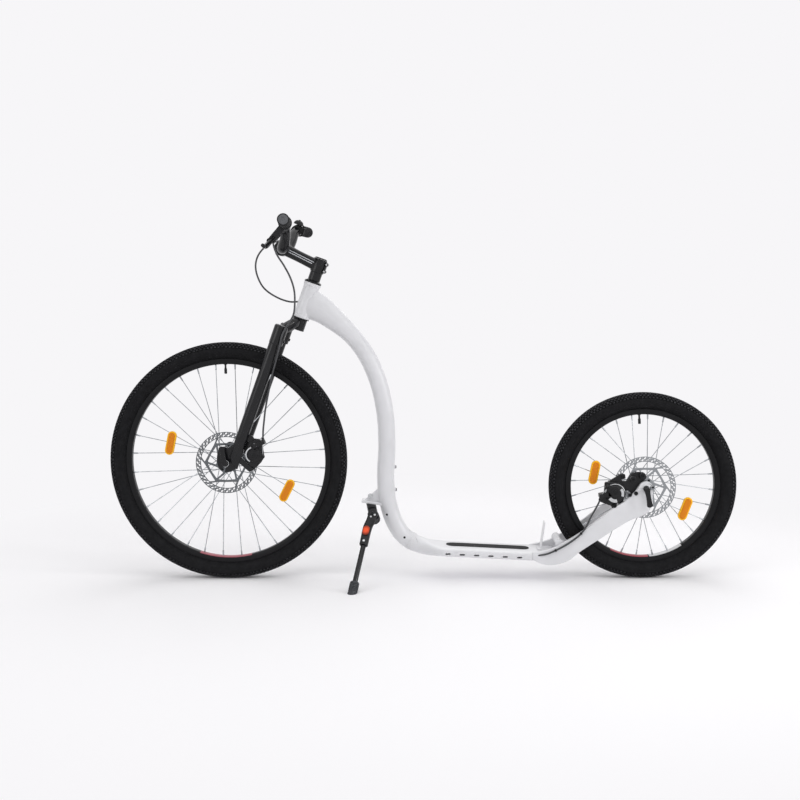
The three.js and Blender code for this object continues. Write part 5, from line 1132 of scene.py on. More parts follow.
class KICKBIKE_OT_fork(bpy.types.Operator):
    """Fork crown, steerer and both legs"""

    bl_idname = "kickbike.fork"
    bl_label = "Fork"

    def execute(self, context):
        steerer = [(0, 409), (20, 409), (20, 440.7), (14.3, 440.7), (14.3, STEM_TOP - GAP),
                   (11.7, STEM_TOP - GAP), (11.7, 600), (0, 600)]
        shapes = [lathe(fillet(steerer, 1.2), STEER, 64)]
        for side in (-1, 1):
            low, high = self.on_leg(side, 356), self.on_leg(side, 411)
            height = np.linalg.norm(high - low)
            socket = [(16.3, 0), (18.2, 0), (19, 2), (19, height - 5), (16.5, height - 1.2), (12, height),
                      (0, height)]
            shapes.append(lathe(fillet(socket, 1.2), STEER @ aim(low, high - low), 56))
            path = spline([(0, 0, 425), (-9, side * 27.3, 425), (LEG_LEAD, side * 57.6, 395)], 40)
            shapes.append(sweep(path, 11, 13, STEER, 3.2, 40, (0, 0, 1)))
            shapes.append(socket_bolt(self.on_leg(side, 370) + [18, 0, 0], (1, 0, 0), 4, 3.5, STEER))
        piece("fork_crown_shell", shapes, "anodised_aluminium_black", "steering", "fork_crown")
        # Each leg is round down to the dropout, where it flattens and leans in
        z = np.concatenate([np.linspace(-4, 24, 12), np.linspace(28, 90, 16), np.linspace(96, 407.7, 24)])
        flat, share = 1 - eased(z, 26, 84), (z - LEG_FOOT) / LEG_RISE
        half = 3.0 + 13.3 * eased(z, -4, 24)
        x = np.where(z < 24, -21.7 - half, -38.2 + 1.7 * share)
        for side, name in ((-1, "left"), (1, "right")):
            y = side * ((61.5 + 3.5 * share) * (1 - flat) + 55.6 * flat)
            leg = sweep(np.stack([x, y, z], 1), 16.2 - 10.6 * flat, half, STEER, 2 + 1.5 * flat, 56,
                        (1, 0, 0))
            shapes = [leg, plate(self.dropout(), *sorted((side * DROPOUTS, side * 58.0)), 1.6, STEER)]
            if side < 0:
                shapes += self.tabs()
            piece(f"{name}_leg_tube", shapes, "enamelled_steel_black", "steering", f"{name}_fork_leg")
        return {"FINISHED"}

    def on_leg(self, side, z):
        """Point at a height on the line of a leg, which leans out by 3.5 mm as it rises."""
        return np.array([LEG_LEAD, side * (61.5 + 3.5 * (z - LEG_FOOT) / LEG_RISE), z])

    def dropout(self):
        """Outline of a fork end: a rounded plate before the leg, with the axle's slot let in from below."""
        corners = [(-52.8, -23.5), (-38, -19), (-27, -5), (-22, 14), (-22, 84), (-54, 84), (-54, 56),
                   (-66, 42), (-80, 43), (-89, 32), (-87, 8), (-77, -13), (-63.2, -23.5)]
        return np.vstack([fillet(corners, [0, 6, 8, 8, 4, 4, 5, 6, 7, 7, 10, 12, 0], 5),
                          arc(-58, 0, 5.2, np.pi, 0, 14)])

    def tabs(self):
        """The two ears of the left leg that carry the caliper."""
        shapes = []
        for (r, along), start, thick in (((88, 42), (LEG_LEAD, 88.0), 9), ((58, -37), (-30.0, 25.0), 7)):
            a = np.radians(39.3)
            x, z = r * np.cos(a) - along * np.sin(a), r * np.sin(a) + along * np.cos(a)
            shapes.append(plate(link(start, thick, (x - 58, z), thick), -58, -50, 1.2, STEER))
        return shapes


class KICKBIKE_OT_stem(bpy.types.Operator):
    """Headset cover, spacer, stem, face plate, top cap and handlebar"""

    bl_idname = "kickbike.stem"
    bl_label = "Stem and handlebar"

    def execute(self, context):
        cover = [(14.6, HEAD_TOP + GAP), (24, HEAD_TOP + GAP), (24, HEAD_TOP + 1.2), (17, COVER_TOP),
                 (14.6, COVER_TOP)]
        piece("cover_cone", lathe(fillet(cover, 0.6), STEER, 64, closed=True), "anodised_aluminium_black",
              "steering",
              "headset_cover")
        spacer = fillet(box(14.6, COVER_TOP + GAP, 17, STEM_BOTTOM - GAP), 0.5)
        piece("spacer_ring", lathe(spacer, STEER, 64, closed=True), "anodised_aluminium_black", "steering",
              "stem_spacer")
        low, dish, high = STEM_TOP + GAP, STEM_TOP + 2.6, STEM_TOP + 4
        cap = fillet([(0, low), (17, low), (17, STEM_TOP + 2.2), (13.5, high), (4.5, high), (4, dish),
                      (0, dish)], 0.5)
        piece("top_cap_disc", lathe(cap, STEER, 64), "moulded_abs_black", "steering", "stem_top_cap",
              "black_plastic")
        self.stem()
        path = bar_path()
        radius = 11.1 + 4.8 * (1 - np.clip((np.abs(path[:, 1]) - 50) / 75, 0, 1))
        piece("handlebar_tube", sweep(path, radius, radius, STEER, 2, 40, (0, 0.02, 1)),
              "anodised_aluminium_black",
              "steering", "handlebar")
        return {"FINISHED"}

    def stem(self):
        """Clamp, forged beam that narrows at its waist, cradle and pinch lugs, and the face plate with its
        bolts."""
        clamp = fillet(box(14.6, STEM_BOTTOM, 19, STEM_TOP), 1.4)
        start, end = np.array([-8, 0, STEM_MIDDLE]), BAR_CENTRE + [6, 0, 0]
        t = np.linspace(0, 1, 30)
        path = start + (end - start) * t[:, None]
        waist = 1.2 * np.sin(np.pi * t)
        beam = sweep(path, 16 - waist, 16.6 - waist, STEER, 3.4, 48, (0, 0, 1))
        shapes = [lathe(clamp, STEER, 64, closed=True), beam]
        # painted highlight: two bright metal lines along each flank stand in for light caught by its edges
        lines = []
        for side in (-1, 1):
            for level, first, last in ((4.2, 2, 28), (-1.4, 3, 26)):
                flank = path[first:last] + np.array([0, side, 0]) * (15.9 - waist[first:last])[:, None]
                lines.append(sweep(flank + [0, 0, level], 0.8, 1.15, STEER, 3, 12, (0, 0, 1)))
        piece("stem_highlight_lines", lines, "turned_aluminium", "steering")
        about_bar = STEER @ shift(*BAR_CENTRE) @ ABOUT_Y
        split = np.pi - np.arccos(2 / 21)
        shapes.append(lathe(fillet(box(16.2, -22, 21, 22), 1.4), about_bar, 40, -split, split))
        levels = (STEM_MIDDLE - 10, STEM_MIDDLE + 10)
        shapes += [rod((20, -14, z), (20, 14, z), 5, STEER, 1.0) for z in levels]
        lug = box(16.5, STEM_BOTTOM + 4, 21.5, STEM_TOP - 4)
        shapes += [plate(lug, low, high, 1.5, STEER) for low, high in ((-12, -1.2), (1.2, 12))]
        piece("stem_forging", shapes, "anodised_aluminium_black", "steering", "stem")
        face = fillet([(16.2, -22), (21, -22), (21, -9), (19.4, -6), (19.4, 6), (21, 9), (21, 22),
                       (16.2, 22)], 1.2)
        half = np.arccos(2.3 / 21)
        piece("face_plate_shell", lathe(face, about_bar, 40, np.pi - half, np.pi + half),
              "anodised_aluminium_black",
              "steering", "stem_face_plate")
        bolts = [socket_bolt(BAR_CENTRE + [-8.0, y, z], (-1, 0, 0), 3.6, 5.0, STEER)
                 for y in (-15.5, 15.5) for z in (-18.2, 18.2)]
        piece("face_plate_bolts", bolts, "zinc_plated_steel", "steering")
        pinch = [socket_bolt((20, -13.6, z), LEFT, 2.7, 2.4, STEER) for z in levels]
        pinch.append(socket_bolt((0, 0, STEM_TOP + 2.4), (0, 0, 1), 3.6, 1.6, STEER))
        piece("stem_bolts", pinch, "zinc_plated_steel", "steering")


class KICKBIKE_OT_controls(bpy.types.Operator):
    """Grips, lever perches, brake levers, bell and its striker"""

    bl_idname = "kickbike.controls"
    bl_label = "Hand controls"

    def execute(self, context):
        for name in ("right", "left"):
            sleeve, plug = self.grip()
            self.put(name, "grip_sleeve", sleeve, "moulded_grip_rubber", "steering", f"{name}_grip",
                     "black_rubber")
            self.put(name, "grip_plug", plug, "moulded_grey_nylon", "steering", None, "grey_rubber")
            perch, bolts = self.perch()
            self.put(name, "perch_clamp", perch, "anodised_aluminium_black", "steering",
                     f"{name}_lever_perch")
            self.put(name, "perch_bolts", bolts, "zinc_plated_steel", "steering")
            self.put(name, "lever_blade", self.lever(), "anodised_aluminium_black",
                     *[f"{name}_brake_lever"] * 2)
        self.bell()
        return {"FINISHED"}

    def put(self, side, name, shapes, material, body, node=None, slot=None):
        """Makes a piece from shapes in the steering frame, mirrored for the left hand."""
        shapes = flipped(shapes) if side == "left" else shapes
        shapes = [(at(STEER, corners), loops, sizes) for corners, loops, sizes in shapes]
        piece(f"{side}_{name}", shapes, material, body, node, slot)

    def grip(self):
        """Grip: a turned sleeve whose radius waves by a raised cosine over the rib pitch, with a flange
        inboard."""
        start, end = bar_point(178), bar_point(BAR_HALF)
        length = np.linalg.norm(end - start) + 4
        pitch = looks().rib_pitch / MM
        z = np.arange(7, length - 7, pitch / 8)
        rib = 15.0 + 0.5 * np.clip(1.6 * np.cos(TURN * z / pitch), -1, 1)
        profile = [(11.3, 0), (17.2, 0), (18, 0.8), (18, 4.0), (17.2, 5), (15.4, 6), *zip(rib, z),
                   (15.4, length - 6),
                   (15.5, length - 2), (14.6, length - 0.4), (13.4, length), (11.3, length - 0.3)]
        plug = [(0, length - 1.2), (12.6, length - 1.2), (13.2, length - 0.6), (12.4, length), (5.5, length),
                (5, length - 0.5), (0, length - 0.5)]
        place = aim(start, end - start)
        return [lathe(profile, place, 64, closed=True)], [lathe(plug, place, 48)]

    def perch(self):
        """Perch: a split clamp round the bar, two cheeks that hold the lever, and the barrel adjuster."""
        hold = bar_point(PERCH_Y)
        bar_way = bar_point(PERCH_Y + 4) - bar_point(PERCH_Y - 4)
        shapes = [lathe(fillet(box(11.4, -8, 15.5, 8), 1.2), aim(hold, bar_way), 56, closed=True)]
        # the arm's own plane: X away from the bar, Z along the bar, Y along the pivot
        plane = basis(hold, LEVER_OUT, LEVER_AXIS, (0, 1, 0))
        outline = fillet([(11, -9), (30, -10.5), (46, -10), (46, 9), (11, 9)], 2.5, 4, True)
        shapes.append(plate(outline, -9.5, 9.5, 1.8, plane))
        cheek = link((36, 0), 9.5, (52, 0), 9.5, 18)
        shapes += [plate(cheek, low, high, 1.4, plane) for low, high in ((-9.6, -3.9), (3.9, 9.6))]
        barrel = [(0, 0), (5.4, 0), (5.4, 3), (4.6, 3.4), (4.6, 6), (5.6, 6.4)]
        for k in range(5):
            barrel += [(5.6, 7 + 1.6 * k), (5.1, 7.5 + 1.6 * k)]
        barrel += [(5.6, 15.2), (4.4, 15.8), (4.4, 18), (3.4, 18), (0, 18)]
        shapes.append(lathe(barrel, aim(hold + LEVER_OUT * 40 + np.array(LEFT) * 8, LEFT), 32))
        post = fillet(box(0, -13, 7.5, 4), 1.5)
        shapes.append(lathe(post, aim(hold + LEVER_OUT * 62 - LEVER_AXIS * 4, (0, 1, 0)), 32))
        bolts = [socket_bolt(hold + LEVER_OUT * spot + LEVER_AXIS * off + [0, -low, 0], LEFT, 2.7, 2.4)
                 for spot, off, low in ((66, -8.0, 8.0), (56, 3.0, 9.0), (40, 6.5, 9.4))]
        bolts.append(socket_bolt(hold + LEVER_OUT * PIVOT_OUT + LEVER_AXIS * 9.4, LEVER_AXIS, 3.6, 2.2))
        bolts.append(socket_bolt(hold - LEVER_OUT * 4 - LEVER_AXIS * 14.5, -LEVER_AXIS, 3.0, 2.6))
        return shapes, bolts

    def lever(self):
        """Lever: an eye and its pin, and a blade whose section swells along a curve and ends in a ball."""
        pivot = bar_point(PERCH_Y) + LEVER_OUT * PIVOT_OUT
        runs = [(0, 0), (0.1, 0.5), (0.27, 0.88), (0.55, 1.0), (0.8, 1.0), (1.0, 0.86)]
        path = spline([pivot + LEVER_OUT * drop * 31 + np.array([0, out * 118, 0]) + LEVER_AXIS * 7 * out
                       for out, drop in runs], 70)
        share = np.linspace(0, 1, 70)
        tip = np.clip((share - 0.9) / 0.1, 0, 1)
        ball = np.sqrt(np.clip(1 - (2 * tip - 1) ** 2, 0.02, 1))
        fade = np.sqrt(np.clip((1 - share) / 0.03, 0.02, 1))
        wide = fade * np.where(tip > 0, 5.2 + 1.4 * ball, np.minimum(7.2, 4.5 + 10 * share))
        swell = 0.55 + 0.45 * np.sin(np.pi * np.minimum(1, 0.15 + share))
        tall = fade * np.where(tip > 0, 2.4 + 2.6 * ball, 4.2 * swell)
        blade = sweep(path, tall, wide, HERE, 2.6, 28, LEVER_AXIS)
        eye = lathe(fillet(box(0, -3.5, 6.5, 3.5), 0.8), aim(pivot, LEVER_AXIS), 40)
        return [blade, eye, rod(pivot - LEVER_AXIS * 9.5, pivot + LEVER_AXIS * 9.5, 2.0)]

    def bell(self):
        """Bell: a clamp on the bar, a stalk, a thin turned dome, and the sprung striker on its ear."""
        hold = bar_point(122)
        x, z = hold[0], hold[2]
        band = plate(link((x, z), 15.3, (x, z + 13), 4, 24), 117.0, 127.0, 1.0, STEER)
        dome = spline([(14, 0), (13.7, 3.2), (12.7, 6.4), (10.2, 9.6), (6.0, 12.0), (0, 13)], 26)
        inner = spline([(0, 11.6), (5.6, 10.7), (9.2, 8.6), (11.4, 5.8), (12.4, 2.8), (12.6, 0)], 20)
        place = STEER @ shift(x, 122, z + 18.4)
        shell = lathe(np.vstack([dome, inner]), place, 64, closed=True)
        stalk = lathe(fillet(box(0, 0, 4, 16.5), 0.6), STEER @ shift(x, 122, z + 14), 24)
        cap = lathe(fillet([(0, 12.6), (3.2, 12.6), (3.0, 14.2), (0, 14.6)], 0.6), place, 24)
        ear = plate(fillet(box(x + 10, z - 4, x + 22.6, z + 12.9), 2, 4, True), 117.5, 126.5, 0.9, STEER)
        piece("bell_body", [band, shell, stalk, cap, ear], "moulded_abs_black", "steering", "bell",
              "black_plastic")
        flat = STEER @ basis((x + 19.3, 122, z + 14.5), (1, 0, 0), (0, 0, 1), LEFT)
        arm = plate(link((0, 0), 3.5, (0, 21), 3.5, 14), -1.25, 1.25, 0.5, flat)
        knob = lathe(spline([(0, 0), (3.4, 0.4), (4.2, 2.4), (3.0, 4.2), (0, 4.6)], 14),
                     flat @ basis((0, 0.6, 20.5), (1, 0, 0), (0, 0, -1), (0, 1, 0)), 24)
        piece("striker_arm", [arm, knob], "moulded_abs_black", "bell_striker", "bell_striker",
              "black_plastic")


# ---------------------------------------------------------------- axles and brakes

# Where each caliper stands, the outline of its body, its round cover, its arm's middle, its cable stop, and
# the painted highlights on the cover, made as bright metal arcs: inner and outer radius, height, and the
# angles between which they show
CALIPERS = {
    "front": {"axle": FRONT_AXLE, "angle": np.radians(19.3), "body": "steering", "cover": (81.5, -3.0, 22.0),
              "arm": (81.5, -3.0), "stop": (118.0, 21.0), "highlight_arcs": [(18.6, 22.4, 61.6, 88, 222)],
              "outline": [(99, 38), (117, 25), (110, 1), (108, -13), (99, -27), (82, -28), (73, -37),
                          (58, -31), (60, -16), (62, 2), (75, 30), (82, 37)]},
    "rear": {"axle": REAR_AXLE, "angle": np.radians(185.4), "body": "frame", "cover": (84.5, 6.7, 27.5),
             "arm": (85.2, -0.5), "stop": (124.0, 8.0),
             "highlight_arcs": [(25.6, 27.8, 60.4, 190, 368), (16.5, 23.6, 64.2, 156, 216),
                        (14.6, 23.6, 64.2, 32, 98)],
             "outline": [(109, -28), (71, -23), (57, -10), (55, 15), (68, 28), (82, 36), (94, 42), (115, 31),
                         (128, 25), (126, 6), (114, 3)]}}
STOP_WAY = np.array([np.sin(np.radians(25)), 0, np.cos(np.radians(25))])


def caliper_place(side):
    """Matrix of a caliper: X from the axle through its middle."""
    look = CALIPERS[side]
    return shift(*look["axle"]) @ turned(look["angle"])


class KICKBIKE_OT_axles(bpy.types.Operator):
    """Axles, quick releases and their nuts"""

    bl_idname = "kickbike.axles"
    bl_label = "Axles"

    def execute(self, context):
        for side, place, thick, angle, body in (
                ("front", FRONT, 8.0, 99.0, "steering"), ("rear", REAR, 12.0, -80.0, "frame")):
            face = DROPOUTS + thick + GAP
            profile = [(0, -face - 7), (7.4, -face - 7), (8.5, -face - 6), (8.5, -face), (4.8, -face),
                       (4.8, -49.7),
                       (8, -49.7), (8, -41), (4.8, -41), (4.8, 41), (8, 41), (8, 49.7), (4.8, 49.7),
                       (4.8, face), (9, face), (9, face + 5), (6.5, face + 9), (0, face + 9)]
            piece(f"{side}_axle_set", lathe(fillet(profile, 0.5), place @ ABOUT_Y, 48), "blackened_steel",
                  body,
                  f"{side}_axle", "black_steel")
            ring = fillet(box(5.5, -face - 1.6, 9.6, -face), 0.4)
            piece(f"{side}_release_washer", lathe(ring, place @ ABOUT_Y, 48, closed=True),
                  "zinc_plated_steel", body)
            cam_radius = 6
            turn = place @ turned(np.radians(angle) - np.pi / 2) @ shift(0, -(face + 7 + GAP + cam_radius), 0)
            cam = rod((-6.5, 0, 0), (6.5, 0, 0), cam_radius, turn, 0.8)
            t = np.linspace(0, 1, 30)
            line = np.stack([np.zeros(30), -3.0 - 0.8 * np.sin(np.pi * t), t * 50], 1)
            width = 8.2 - 1.6 * np.sin(np.pi * np.clip(t * 1.1, 0, 1)) + 0.2 * t
            ends = np.sqrt(np.clip(1 - np.clip((t - 0.88) / 0.12, 0, 1) ** 2, 0.03, 1))
            blade = sweep(line, width * ends, 2.6 * (0.6 + 0.4 * ends), turn, 2.8, 32, (0, 1, 0))
            piece(f"{side}_release_blade", [cam, blade], "anodised_aluminium_black", f"{side}_release_lever",
                  f"{side}_release_lever")
        return {"FINISHED"}


class KICKBIKE_OT_brakes(bpy.types.Operator):
    """Calipers with their covers, bolts, arms and inner wires"""

    bl_idname = "kickbike.brakes"
    bl_label = "Disc brakes"

    def execute(self, context):
        for side, look in CALIPERS.items():
            self.caliper(side, look, caliper_place(side))
            self.arm(side, look, caliper_place(side))
        self.bracket()
        return {"FINISHED"}

    def caliper(self, side, look, place):
        """Caliper: a rounded casting on both sides of the rotor, a round cover towards the rider's left whose
        rim carries bright metal arcs as a painted highlight, two mounting ears and a cable stop."""
        outline = fillet([(62, -30), (51, -30), (51, -44), (65, -44), (98, -28), (98, 28), (95, 49), (81, 49),
                          (81, 35), (62, 35)], [2, 3, 5, 5, 8, 8, 5, 5, 3, 6], 5, True)
        inner = fillet(box(64, -26, 94, 26), 5, 5, True)
        back = fillet(box(87, -27, 98, 27), 4, 4, True)
        shell = [plate(outline, -49.7, -42.5, 1.6, place), plate(inner, -36.2, -27, 1.8, place),
                 plate(back, -49.5, -27.2, 1.6, place)]
        x, z, radius = look["cover"]
        about = place @ outward(x, z)
        boss = [(0, 47), (radius - 1, 47), (radius, 50), (radius, 57.5), (radius - 1.5, 59.6),
                (radius - 4.5, 60.4), (radius - 6, 61.6), (radius - 8, 63.7), (0, 63.7)]
        shell.append(plate(fillet(look["outline"], 5, 4, True), -57, -46, 1.6, place))
        shell.append(lathe(fillet(boss, 0.9), about, 72))
        # painted highlight: bright metal arcs on the cover's rim, only at the angles where light catches it
        highlight_arcs = []
        for low, high, top, start, end in look["highlight_arcs"]:
            edge = fillet(box(low, top - 5, high, top), 0.5, 3, True)
            highlight_arcs.append(lathe(edge, about, 48, np.radians(start), np.radians(end)))
        piece(f"{side}_cover_highlight_arcs", highlight_arcs, "zinc_plated_steel", look["body"], None, "bright_steel")
        sx, sz = look["stop"]
        stop = fillet([(88, sz - 10), (sx + 5, sz - 6), (sx + 5, sz + 5), (88, sz + 4)], 2.0, 4, True)
        shell.append(plate(stop, -63.7, -43.7, 1.0, place))
        tip = fillet(box(sx - 6, sz - 6, sx + 5, sz + 5), 2.0, 4, True)
        shell.append(plate(tip, -72, -58, 1.0, place))
        ferrule = [(0, 0), (3.2, 0), (4, 0.6), (4, 9.4), (3.4, 10.2), (4, 10.8), (4, 12), (0, 12)]
        shell.append(lathe(ferrule, place @ aim((sx, -67.0, sz), STOP_WAY), 28))
        lug = fillet([(88, 8), (108, 12), (112, 32), (98, 36), (84, 26)], 5, 5, True)
        shell.append(plate(lug, -60, -44, 1.4, place))
        piece(f"{side}_caliper_casting", shell, "cast_aluminium_black", look["body"], f"{side}_brake_caliper")
        bolts = [socket_bolt(point, LEFT, radius, height, place) for point, radius, height in (
            ((58, -49.4, -37), 4.6, 4.2), ((106, -59.8, 19), 3.2, 2.4), ((94, -59.8, 23), 3.4, 2.4))]
        metal = "zinc_plated_steel" if side == "front" else "blackened_steel"
        piece(f"{side}_caliper_bolts", bolts, metal, look["body"])

    def arm(self, side, look, place):
        """Brake arm with its hub cover, the wire clamp at its tip and the bare wire."""
        body = f"{side}_brake_arm"
        face = -64.0
        x, z = look["arm"]
        arm = plate(link((x, z), 14, (104, -15), 6.5, 24), face - 6, face - GAP, 1.2, place)
        about = place @ outward(x, z)
        cover = lathe([(0, 69), (11, 69), (12, 70), (11.5, 71), (7.5, 71.4), (7, 70.6), (0, 70.6)], about, 48)
        clamp = rod((104, -63.8, -15), (104, -74.8, -15), 5.5, place, 0.8)
        piece(f"{side}_arm_lever", [arm, cover, clamp], "cast_aluminium_black", body, body)
        heads = [socket_bolt((104, -74.6, -15), LEFT, 4.0, 1.4, place),
                 socket_bolt((x, -70.4, z), LEFT, 4.4, 1.8, place)]
        piece(f"{side}_arm_bolts", heads, "blackened_steel", body)
        sx, sz = look["stop"]
        start, end = np.array([sx, -67.0, sz]) - STOP_WAY * 5, np.array([105, -67.0, -13])
        wire = sweep(np.linspace(start, end, 8), 0.8, 0.8, place, 2, 10)
        piece(f"{side}_bare_wire", wire, "steel_wire_rope", body)

    def bracket(self):
        """Adapter that carries the rear caliper over the axle, behind the arm's end, and its bolts."""
        place = caliper_place("rear")
        outline = fillet([(70, -26), (49, -24), (43, -28), (36, -40), (27, -45), (13, -46), (-3, -41),
                          (-7, -28), (8, -16), (22, -6), (22, 18), (34, 20), (47, 2), (60, 4)], 5, 5, True)
        boss = fillet([(0, 44), (8.5, 44), (8.5, 60.5), (7, 62), (0, 62)], 0.8)
        # Place, radius and height of each bolt's head. The first two stand on bosses
        spots = ((32, -29, 4.4, 3.0), (6, -36, 4.4, 3.0), (45.1, 13.0, 5.0, 3.6), (28.6, 10.3, 5.5, 3.6))
        bosses = [lathe(boss, place @ outward(x, z), 40) for x, z, *_ in spots[:2]]
        piece("rear_caliper_adapter", [plate(outline, -49.4, -44.2, 1.0, place), *bosses],
              "cast_aluminium_black",
              "frame")
        heads = [socket_bolt((x, -61.8, z), LEFT, radius, height, place) for x, z, radius, height in spots]
        heads.append(socket_bolt((89.1, -57, 40.1), LEFT, 5.0, 6.0, place))
        piece("adapter_bolts", heads, "blackened_steel", "frame")


# ---------------------------------------------------------------- stand

PIVOT, FOOT, FOLDED = np.array([404.0, -42, 182]), np.array([357.5, -177, 10]), np.array([0.985, -0.17, 0.02])
DOWN = (FOOT - PIVOT) / np.linalg.norm(FOOT - PIVOT)
STAND_AXIS = np.cross(DOWN, FOLDED) / np.linalg.norm(np.cross(DOWN, FOLDED))
STAND = basis(PIVOT, STAND_AXIS, np.cross(-DOWN, STAND_AXIS), -DOWN)
REACH = np.linalg.norm(FOOT - PIVOT)
# The shaft stands a little ahead of the pivot and leans back to the foot
LEG = STAND @ basis((0, -7.8, 0), (1, 0, 0), (0, 1, 0.026), (0, -0.026, 1))
BUTTON_Z = -52.0


class KICKBIKE_OT_stand(bpy.types.Operator):
    """Side stand: bracket, head, leg with its release button, sliding lower leg and foot"""

    bl_idname = "kickbike.stand"
    bl_label = "Side stand"

    def execute(self, context):
        refined("stand_bracket", "powder_coated_alloy_white", "frame", 1.0)
        refined("stand_head", "cast_aluminium_black", "frame", 1.0, 50)
        bolt = [lathe(fillet(box(0, -2.5, 7.4, 0.4), 0.5), aim((395.0, -5.8, 231.0), LEFT), 40),
                socket_bolt((395.0, -5.6, 231.0), LEFT, 5.0, 3.4)]
        piece("bracket_bolt", bolt, "zinc_plated_steel", "frame")
        self.leg()
        self.foot()
        return {"FINISHED"}

    def leg(self):
        """Leg: an eye beside the head, and a shaft whose flat section narrows to a round sleeve."""
        ahead = STAND @ basis((0, 0, 0), (0, 0, 1), LEFT, (1, 0, 0))
        eye = lathe(fillet(box(0, 0.15, 14, 12), 1.2), ahead, 56)
        path = spline([(6.3, 0, 0), (6.3, -1.5, -20), (0, -6.8, -38), (0, -5.5, -92)], 60)
        tall = 5.7 + (8.5 - 5.7) * np.clip((-path[:, 2] - 22) / 16, 0, 1)
        shaft = sweep(path, np.linspace(13, 11.4, 60), tall, STAND, 3.4, 40, (1, 0, 0))
        piece("stand_leg_casting", [shaft, eye], "cast_aluminium_black", "stand_leg", "stand_leg")
        collar = lathe(fillet(box(9.0, -94, 11.0, -86), 0.8), LEG, 40, closed=True)
        piece("stand_leg_collar", collar, "cast_aluminium_black", "stand_leg")
        turn = LEG @ basis((0, 0, 0), LEFT, (1, 0, 0), (0, 0, 1))
        low, high = BUTTON_Z - 5, BUTTON_Z + 5
        button = plate(link((0, low), 9.4, (0, high), 9.4, 20), 3.0, 12.5, 2.2, turn)
        piece("stand_button_cap", button, "moulded_abs_red", "stand_button", "stand_button", "red_plastic")
        bezel = plate(link((0, low), 10.8, (0, high), 10.8, 20), 5.0, 9.4, 0.6, turn)
        piece("stand_button_bezel", bezel, "moulded_abs_black", "stand_leg", None, "black_plastic")
        nut = lathe([(0, 11.5), (5.4, 11.5), (5.4, 14), (4.6, 15), (0, 15)], ahead, 6)
        piece("stand_pivot_bolt", nut, "blackened_steel", "stand_leg")
        heads = [socket_bolt(point, (1, 0, 0), radius, height, place) for point, radius, height, place in (
            ((11.6, 7.6, -3.0), 3.0, 2.2, STAND), ((11.6, -2.0, -10.0), 2.6, 2.2, STAND),
            ((8.4, 0, -83), 3.3, 1.6, LEG))]
        piece("stand_leg_screws", heads, "zinc_plated_steel", "stand_leg")

    def foot(self):
        """Lower leg and its ribbed rubber foot, whose underside is cut flat where the ground is."""
        top, end = -REACH + 19, -REACH - 38
        shaft = lathe(fillet(box(0, top - 12, 7, -60), 0.8), LEG, 40)
        piece("lower_leg_rod", shaft, "anodised_aluminium_black", "stand_lower", "stand_lower_leg")
        profile = [(0, top), (11.0, top), (12.4, top - 1.6)]
        for k in range(5):
            z = top - 4 - 5 * k
            profile += [(12.8, z), (12.8, z - 2.6), (11.6, z - 3.0), (11.6, z - 4.4)]
        profile += [(12.8, -REACH - 12), (12.8, end), (0, end)]
        rubber = piece("stand_foot_rubber", lathe(profile, LEG, 64), "scuffed_grey_rubber", "stand_lower",
                       "stand_foot",
                       "grey_rubber")
        drilled(rubber, [plate(box(200, -90, 520, 0), -320, 0, 0.01, HERE, 1)])


# ---------------------------------------------------------------- cables

PORT, PORT_WAY = np.array([238, 26.8, 763]), np.array([0.72, -0.35, -0.6])
LOOP = [(155, 125.6, 946.6), (154.6, 118, 946.4), (150, 108, 944), (134, 92, 942), (112, 80, 934),
        (93, 72, 918),
        (80, 64, 897), (75, 60, 872), (80, 60, 843), (97, 60, 811), (131, 56, 786), (170, 50, 772),
        (205, 41, 772)]
REAR_RUN = [(846, -54, 72.6), (858, -60, 74.2), (870, -64, 76.4), (885, -65.2, 80.5), (905, -65.2, 89),
            (940, -65.2, 108.5), (972, -65.2, 134), (988, -65.2, 156), (1000, -66.4, 182)]
FRONT_RUN = [(155, -125.6, 946.6), (154.6, -118, 946.2), (149, -108, 939), (147, -104, 925), (156, -99, 897),
             (171.6, -89, 870.6), (186.8, -76, 838.8), (196, -68, 806.7), (198.3, -70, 777), (195, -79, 738),
             (181, -86, 712), (165, -87.5, 684), (156.5, -84, 653), (145.2, -77, 612.6), (132.5, -71, 570.2),
             (124.4, -68, 533.8), (118.6, -68, 506.5), (113.4, -68, 479.2), (109.8, -67.4, 451.8),
             (106.6, -67, 424.4)]


def stop_run(side):
    """The last two points of a brake cable, straight into the ferrule of its caliper."""
    x, z = CALIPERS[side]["stop"]
    steps = (20, 12.3) if side == "rear" else (12.3,)
    return [tuple(at(caliper_place(side), np.array([x, -67.0, z]) + STOP_WAY * along)) for along in steps]


